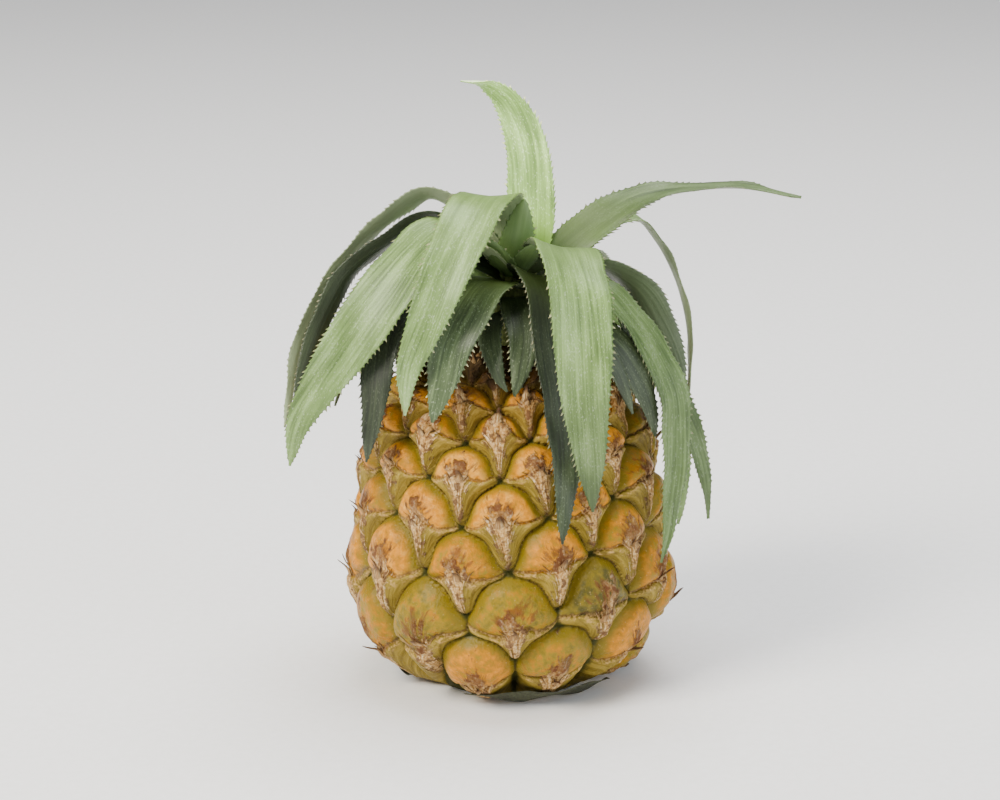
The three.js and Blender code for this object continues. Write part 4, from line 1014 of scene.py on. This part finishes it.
# The crown's leaves, as in the frame: name, slot, the side of the axis the blade looks out from,
# width, roll about the midrib from root to tip, and the midrib's route
LEAVES = [
    ("leaf_heart", "heart_leaf", -90, 11, (0, 0, 0, 0), (
        (1, -3, 130), (1, -5, 134), (2, -6, 139), (3, -6, 145), (4, -6, 151),
    )),
    ("leaf_heart_left", "heart_leaf", -140, 9, (10, 20, 25, 20), (
        (-1, -7, 128), (-3, -11, 133), (-6, -14, 138), (-9, -15, 141),
    )),
    ("leaf_heart_right", "heart_leaf", -50, 8.5, (-10, -15, -20, -20), (
        (2, -7, 128), (4, -11, 133), (6, -14, 137), (9, -15, 140),
    )),
    ("leaf_heart_back", "heart_leaf", 80, 10, (0, 0, 0, 0), (
        (1, 4, 130), (1, 6, 136), (0, 8, 142), (-1, 11, 147),
    )),
    ("leaf_tall", "pale_leaf", 90, 15, (0, 0, 0, 0), (
        (5, 5, 128), (6, 9, 137), (6, 12, 149), (5, 14, 162), (2, 14, 172), (-2, 12, 179),
        (-7, 9, 183), (-15, 5, 185),
    )),
    ("leaf_right_long", "pale_leaf", 30, 13, (40, 30, -5, 25), (
        (5, 2, 127), (12, 5, 130), (23, 9, 138), (38, 12, 147), (55, 12, 150.5), (71, 10, 151.5),
        (88, 6, 149),
    )),
    ("leaf_front_wide", "pale_leaf", -70, 22, (-10, -15, 20, 15), (
        (9, -1, 127), (12, -8, 134), (15, -19, 138.5), (17, -31, 137.5), (19, -40, 131.5),
        (20.5, -46, 118), (21.5, -49, 101), (23, -49, 83), (24, -47, 66),
    )),
    ("leaf_left_fold", "pale_leaf", -100, 19, (0, 0, -8, -5), (
        (-2, 3, 131), (-3, 3, 141), (-5, -1, 149), (-7, -10, 152), (-10, -20, 151), (-14, -29, 145),
        (-19, -37, 135), (-25, -42, 121), (-30, -43, 107), (-31, -42, 94),
    )),
    ("leaf_left_wide", "pale_leaf", -145, 21, (-5, -10, -55, -40), (
        (-2, -4, 128), (-11, -10, 138), (-19, -16, 143), (-28, -22, 137), (-38, -27, 125),
        (-48, -30, 112), (-57, -31, 99), (-63, -31, 88), (-66, -30, 75),
    )),
    ("leaf_left_outer", "pale_leaf", 165, 10.5, (50, 30, 15, 40), (
        (-2, 4, 129), (-9, 6, 139), (-19, 8, 147), (-26, 9, 149), (-37, 8, 142), (-49, 6, 131),
        (-59, 2, 117), (-65, -2, 103), (-69, -6, 80),
    )),
    ("leaf_left_dark", "dark_leaf", 180, 12.5, (10, 25, 50, 55), (
        (-2, 0, 128), (-12, -2, 139), (-24, -3, 145), (-36, -4, 138), (-48, -6, 129),
        (-56, -9, 116), (-62, -12, 101), (-66, -14, 87),
    )),
    ("leaf_front_behind", "dark_leaf", -75, 16, (-20, -30, -15, 5), (
        (2, -6, 127), (5, -15, 130), (9, -25, 127), (11, -34, 115), (14, -40, 98), (16, -44, 78),
        (15, -50, 57),
    )),
    ("leaf_front_left", "dark_leaf", -120, 18, (0, -5, -30, -20), (
        (0, -8, 125), (-4, -14, 127), (-9, -24, 127), (-14, -33, 121), (-18, -38, 113),
        (-20, -41, 104), (-23, -43, 92),
    )),
    ("leaf_low_left", "dark_leaf", -155, 15, (-5, -15, -50, -50), (
        (-3, -5, 119), (-15, -15, 125), (-27, -21, 124), (-36, -24, 117), (-39, -27, 108),
        (-40, -30, 99), (-41, -32, 90), (-43, -33, 77),
    )),
    ("leaf_front_small", "dark_leaf", -85, 12, (0, 5, 0, 0), (
        (1, -9, 120), (2, -14, 122), (3, -22, 120), (4, -29, 114), (3, -33, 107), (1, -36, 98),
    )),
    ("leaf_right_thin", "pale_leaf", 40, 9, (-5, 15, 25, 25), (
        (3, 8, 126), (14, 18, 131), (26, 25, 136.5), (39, 28, 138), (45.5, 28, 131), (51, 27, 121),
        (54, 26, 112), (56, 25, 100), (56, 24, 89), (55, 23, 79),
    )),
    ("leaf_right_dark", "dark_leaf", 5, 15.5, (-10, -25, -70, -65), (
        (3, 0, 124), (15, 1, 128.5), (28, 2, 128), (38, 3, 121.5), (45, 4, 110), (50, 5, 98),
        (53, 6, 84),
    )),
    ("leaf_right_curved", "pale_leaf", -25, 11.5, (-20, 0, 45, 30), (
        (3, -5, 123), (14, -10, 128), (24, -13.5, 129.5), (30, -15.5, 123), (36, -17.5, 113),
        (42, -18.5, 104.5), (48.5, -19, 95), (54.5, -18, 82), (58.5, -17, 68.5), (60, -16, 54),
    )),
    ("leaf_right_low", "pale_leaf", -30, 13, (0, 5, 40, 45), (
        (3, -7, 120), (15, -13, 125), (27, -18, 126), (36, -20, 117), (43, -23, 107), (48, -25, 96),
        (49, -26, 86), (49, -27, 75), (48, -28, 64), (47, -29, 53), (45, -31, 45),
    )),
    ("leaf_right_lower", "pale_leaf", -15, 12, (0, 5, 40, 55), (
        (3, -3, 117), (18, -6, 118), (34, -8, 113), (45, -9, 100), (50, -10, 84), (52, -11, 71),
        (52, -12, 60), (51, -12, 51),
    )),
    ("leaf_right_inner", "dark_leaf", -30, 13, (5, 10, 35, 40), (
        (2, -7, 113), (13, -17, 116), (23, -24, 116), (31, -26, 111), (37, -27, 102), (41, -27, 93),
        (43, -26, 83),
    )),
    ("leaf_right_short", "dark_leaf", -50, 9.5, (0, 0, 10, 20), (
        (1, -8, 112), (9, -20, 114), (18, -29, 115), (26, -33, 111), (31, -34, 105), (34, -34, 98),
        (36, -33, 92),
    )),
    ("leaf_front_shaded", "dark_leaf", -110, 9, (10, 15, 5, -5), (
        (-1, -9, 116), (-4, -17, 118), (-6, -24, 115), (-5, -30, 108), (-3, -33, 102),
        (-1, -34, 99),
    )),
    ("leaf_left_inner", "dark_leaf", 175, 12, (-10, -15, -5, -5), (
        (-1, -2, 124), (-6, -4, 129), (-13, -6, 132), (-21, -8, 130), (-29, -10, 124),
    )),
    ("leaf_back_arched", "pale_leaf", 85, 13, (0, 0, 0, 0), (
        (5, 9, 124), (8, 16, 130), (11, 24, 132), (12, 34, 131), (12, 43, 124), (11, 50, 112),
        (10, 54, 99), (9, 55, 88),
    )),
    ("leaf_back_right", "pale_leaf", 60, 15, (0, 0, 0, 0), (
        (6, 8, 121), (14, 19, 127), (21, 30, 127), (26, 40, 121), (29, 46, 110), (30, 49, 96),
        (30, 50, 82),
    )),
    ("leaf_back_left", "pale_leaf", 115, 16, (0, 0, 0, 0), (
        (-3, 8, 124), (-8, 18, 134), (-13, 29, 139), (-17, 39, 134), (-20, 46, 120), (-21, 50, 103),
        (-21, 51, 84),
    )),
    ("leaf_back_left_side", "pale_leaf", 145, 15, (0, 0, 0, 0), (
        (-6, 5, 121), (-16, 12, 129), (-28, 20, 131), (-38, 26, 124), (-43, 30, 110), (-45, 32, 95),
        (-45, 32, 81),
    )),
    ("leaf_back_low", "dark_leaf", 95, 15, (0, 0, 0, 0), (
        (-1, 10, 115), (-2, 22, 121), (-3, 34, 120), (-4, 43, 112), (-5, 49, 99), (-6, 52, 82),
    )),
    ("leaf_back_low_right", "dark_leaf", 35, 13, (0, 0, 0, 0), (
        (8, 6, 115), (19, 13, 120), (31, 21, 117), (39, 27, 107), (43, 30, 94), (45, 31, 78),
    )),
    ("leaf_back_low_left", "dark_leaf", 130, 14, (0, 0, 0, 0), (
        (-6, 8, 114), (-14, 17, 119), (-24, 28, 117), (-31, 36, 108), (-34, 40, 95), (-35, 41, 80),
    )),
    ("leaf_left_low_side", "dark_leaf", 175, 14, (0, 0, 0, 0), (
        (-9, 1, 114), (-21, 2, 119), (-33, 4, 117), (-43, 5, 107), (-50, 5, 96), (-54, 4, 84),
    )),
    ("leaf_left_low_front", "dark_leaf", -160, 11, (0, 0, -10, -10), (
        (-8, -4, 113), (-18, -8, 117), (-30, -12, 115), (-39, -16, 106), (-43, -18, 95),
    )),
]


def aim_at_object(name, data, place):
    """Puts a camera or a light at a place in metres, turned to the middle of the object."""
    holder = bpy.data.objects.new(name, data)
    holder.location = place
    aim = Vector((0, 0, TARGET_HEIGHT)) - Vector(place)
    holder.rotation_euler = aim.to_track_quat("-Z", "Y").to_euler()
    bpy.context.scene.collection.objects.link(holder)
    return holder


def set_camera():
    """Places the camera at the photograph's angle."""
    camera = bpy.data.cameras.new("camera")
    camera.lens = LENS
    camera.sensor_width = SENSOR_WIDTH
    camera.shift_x, camera.shift_y = SHIFT
    camera.clip_end = 50
    back = CAMERA_DISTANCE * math.cos(CAMERA_ELEVATION)
    place = (0, -back, TARGET_HEIGHT + CAMERA_DISTANCE * math.sin(CAMERA_ELEVATION))
    bpy.context.scene.camera = aim_at_object("camera", camera, place)


def add_softbox(name, place, size, watts, colour):
    """A square studio light, its size in metres."""
    light = bpy.data.lights.new(name, "AREA")
    light.shape = "SQUARE"
    light.size = size
    light.energy = watts
    light.color = paint(colour)[:3]
    aim_at_object(name, light, place)


def set_stage():
    """A wide round floor, pale paint, with the world's soft light and three softboxes over it."""
    material, tree = start_material("studio floor, matt white paint")
    # Rolled paint is even at this distance, with only a faint texture of 3 mm
    place = add(tree, "ShaderNodeTexCoord").outputs["Object"]
    roller = add(tree, NOISE, {"Scale": PER_MM / 3, "Detail": 2.0}, {"Vector": place})
    colour = add(tree, RAMP, links={"Fac": roller}, stops=[(0.3, "#f6f6f4"), (0.7, "#fafaf9")])
    shader = add(tree, "ShaderNodeBsdfPrincipled", {"Roughness": 0.9}, {"Base Color": colour})
    add(tree, "ShaderNodeOutputMaterial", links={"Surface": shader})
    turns = np.linspace(0, 2 * np.pi, 96, endpoint=False)
    radii = np.array([0.2, 0.6, 1.5, 4.0])[:, None]
    rows = turned(radii, turns, 0)
    rings, columns = rows.shape[:2]
    points = np.concatenate([rows.reshape(-1, 3), [[0, 0, 0]]])
    middle = fan(np.arange(columns), rings * columns, True)
    mesh = bpy.data.meshes.new("floor")
    mesh.from_pydata(points.tolist(), [],
                     grid_quads(rings, columns, True)[:, ::-1].tolist() + middle.tolist())
    mesh.materials.append(material)
    floor = bpy.data.objects.new("floor", mesh)
    bpy.context.scene.collection.objects.link(floor)

    world = bpy.data.worlds.new("studio")
    bpy.context.scene.world = world
    world.use_nodes = True
    world.node_tree.nodes["Background"].inputs["Color"].default_value = paint("#f7f9ff")
    world.node_tree.nodes["Background"].inputs["Strength"].default_value = 0.45
    add_softbox("key_light", (-0.9, -0.8, 1.1), 0.7, 40, "#fff8ec")
    add_softbox("top_light", (0.15, 0.25, 1.3), 0.9, 20, "#ffffff")
    add_softbox("fill_light", (1.0, -0.7, 0.5), 0.9, 7, "#f4f8ff")


def base_leaf_rows(turn, width, rise):
    """A withered leaf under the fruit, on a grid of turn by reach from its own middle line.

    It runs round the base an even way off the wall. Its half width is that of an ellipse, and
    its torn edge is a sum of sines.
    """
    along = np.linspace(-1, 1, 41)[None, :]
    s = np.linspace(-1, 1, 11)[:, None]
    torn = 1 + 0.10 * np.sin(9 * along + width) + 0.07 * np.sin(23 * along + rise)
    half = rise / 2 * np.sqrt(np.maximum(1 - along ** 2, 0.02)) * torn
    radius = np.interp(STUB_REACH, REACHES, RADII)
    angle = math.radians(turn) + along * width / 2 / radius + 0 * s
    lift = STUB_LIFT + 0.5 * np.sin(7 * along + rise) * s
    points = wall_point(angle, STUB_REACH + half * s, lift)
    points[..., 2] = np.maximum(points[..., 2], 0.5)
    return points


def make_base_leaf(name, turn, width, rise, material):
    """A thin closed sheet: the grid moved out and in by half a thickness, joined at the edge."""
    rows = base_leaf_rows(turn, width, rise)
    count, columns = rows.shape[:2]
    outward = turned(1, math.radians(turn), 0.6)
    outer = rows + STUB_HALF_THICKNESS * outward + 0.15 * ripple(rows, 4, 6)[..., None] * outward
    inner = rows - STUB_HALF_THICKNESS * outward
    inner[..., 2] = np.maximum(inner[..., 2], 0.3)
    size = count * columns
    front = grid_quads(count, columns, False)
    grid = np.arange(size).reshape(count, columns)
    edge = np.concatenate([grid[0, :-1], grid[:-1, -1], grid[-1, :0:-1], grid[:0:-1, 0]])
    after = np.roll(edge, -1)
    sides = np.stack([after, edge, edge + size, after + size], -1)
    faces = [front, front[:, ::-1] + size, sides]
    points = np.concatenate([outer.reshape(-1, 3), inner.reshape(-1, 3)])
    return make_piece(name.replace("base_leaf", "withered_leaf"), points, faces, {}, material,
                      [name])


BASE_LEAVES = [
    ("base_leaf_front", 17, 48, 7),
    ("base_leaf_left", -88, 30, 7),
    ("base_leaf_back", 172, 34, 7),
    ("base_leaf_right", 96, 26, 7),
]


def dress():
    """Makes every piece of the object in its own finish."""
    make_rind(rind_material())
    make_tips(paper_material())
    make_cut_stem(woody_material("cut stem, dried fibres", "#c9b78a", "#8a7448", 0.8))
    make_crown_stem(woody_material("crown stem, green wood", "#8f9a58", "#4c5527", 1.0))
    withered = woody_material("base leaf, withered", "#4a4e36", "#1d1c14", 0.7)
    for name, turn, width, rise in BASE_LEAVES:
        make_base_leaf(name, turn, width, rise, withered)
    materials = {
        "pale_leaf": leaf_material("crown leaf, scurfy grey green", ("#4f6733", "#6b8748", "#88a564"),
                                   "#acbd98", "#6b8a35", ("#8c9c78", "#adba96"), 0.4),
        # The dark leaves' green is partly their own and partly painted shade, for leaves that stand in the
        # crown's shadow
        "dark_leaf": leaf_material("crown leaf, old and dark green, with painted shade", ("#27311d", "#37442a", "#4d5b3c"),
                                   "#828f74", "#46561f", ("#39452f", "#55624a"), 0.3),
        "heart_leaf": leaf_material("crown leaf, young and fresh green", ("#34501b", "#476a26", "#5f853a"),
                                    "#8ba36c", "#6a8a2a", ("#5f7a44", "#7d935f"), 0.1),
    }
    for name, kind, face, width, roll, route in LEAVES:
        make_leaf(name, kind, face, width, roll, route, materials)


def corners(box):
    """A box's lowest and highest corners as plain lists."""
    return [list(box[0]), list(box[1])]


set_camera()
set_stage()
dress()
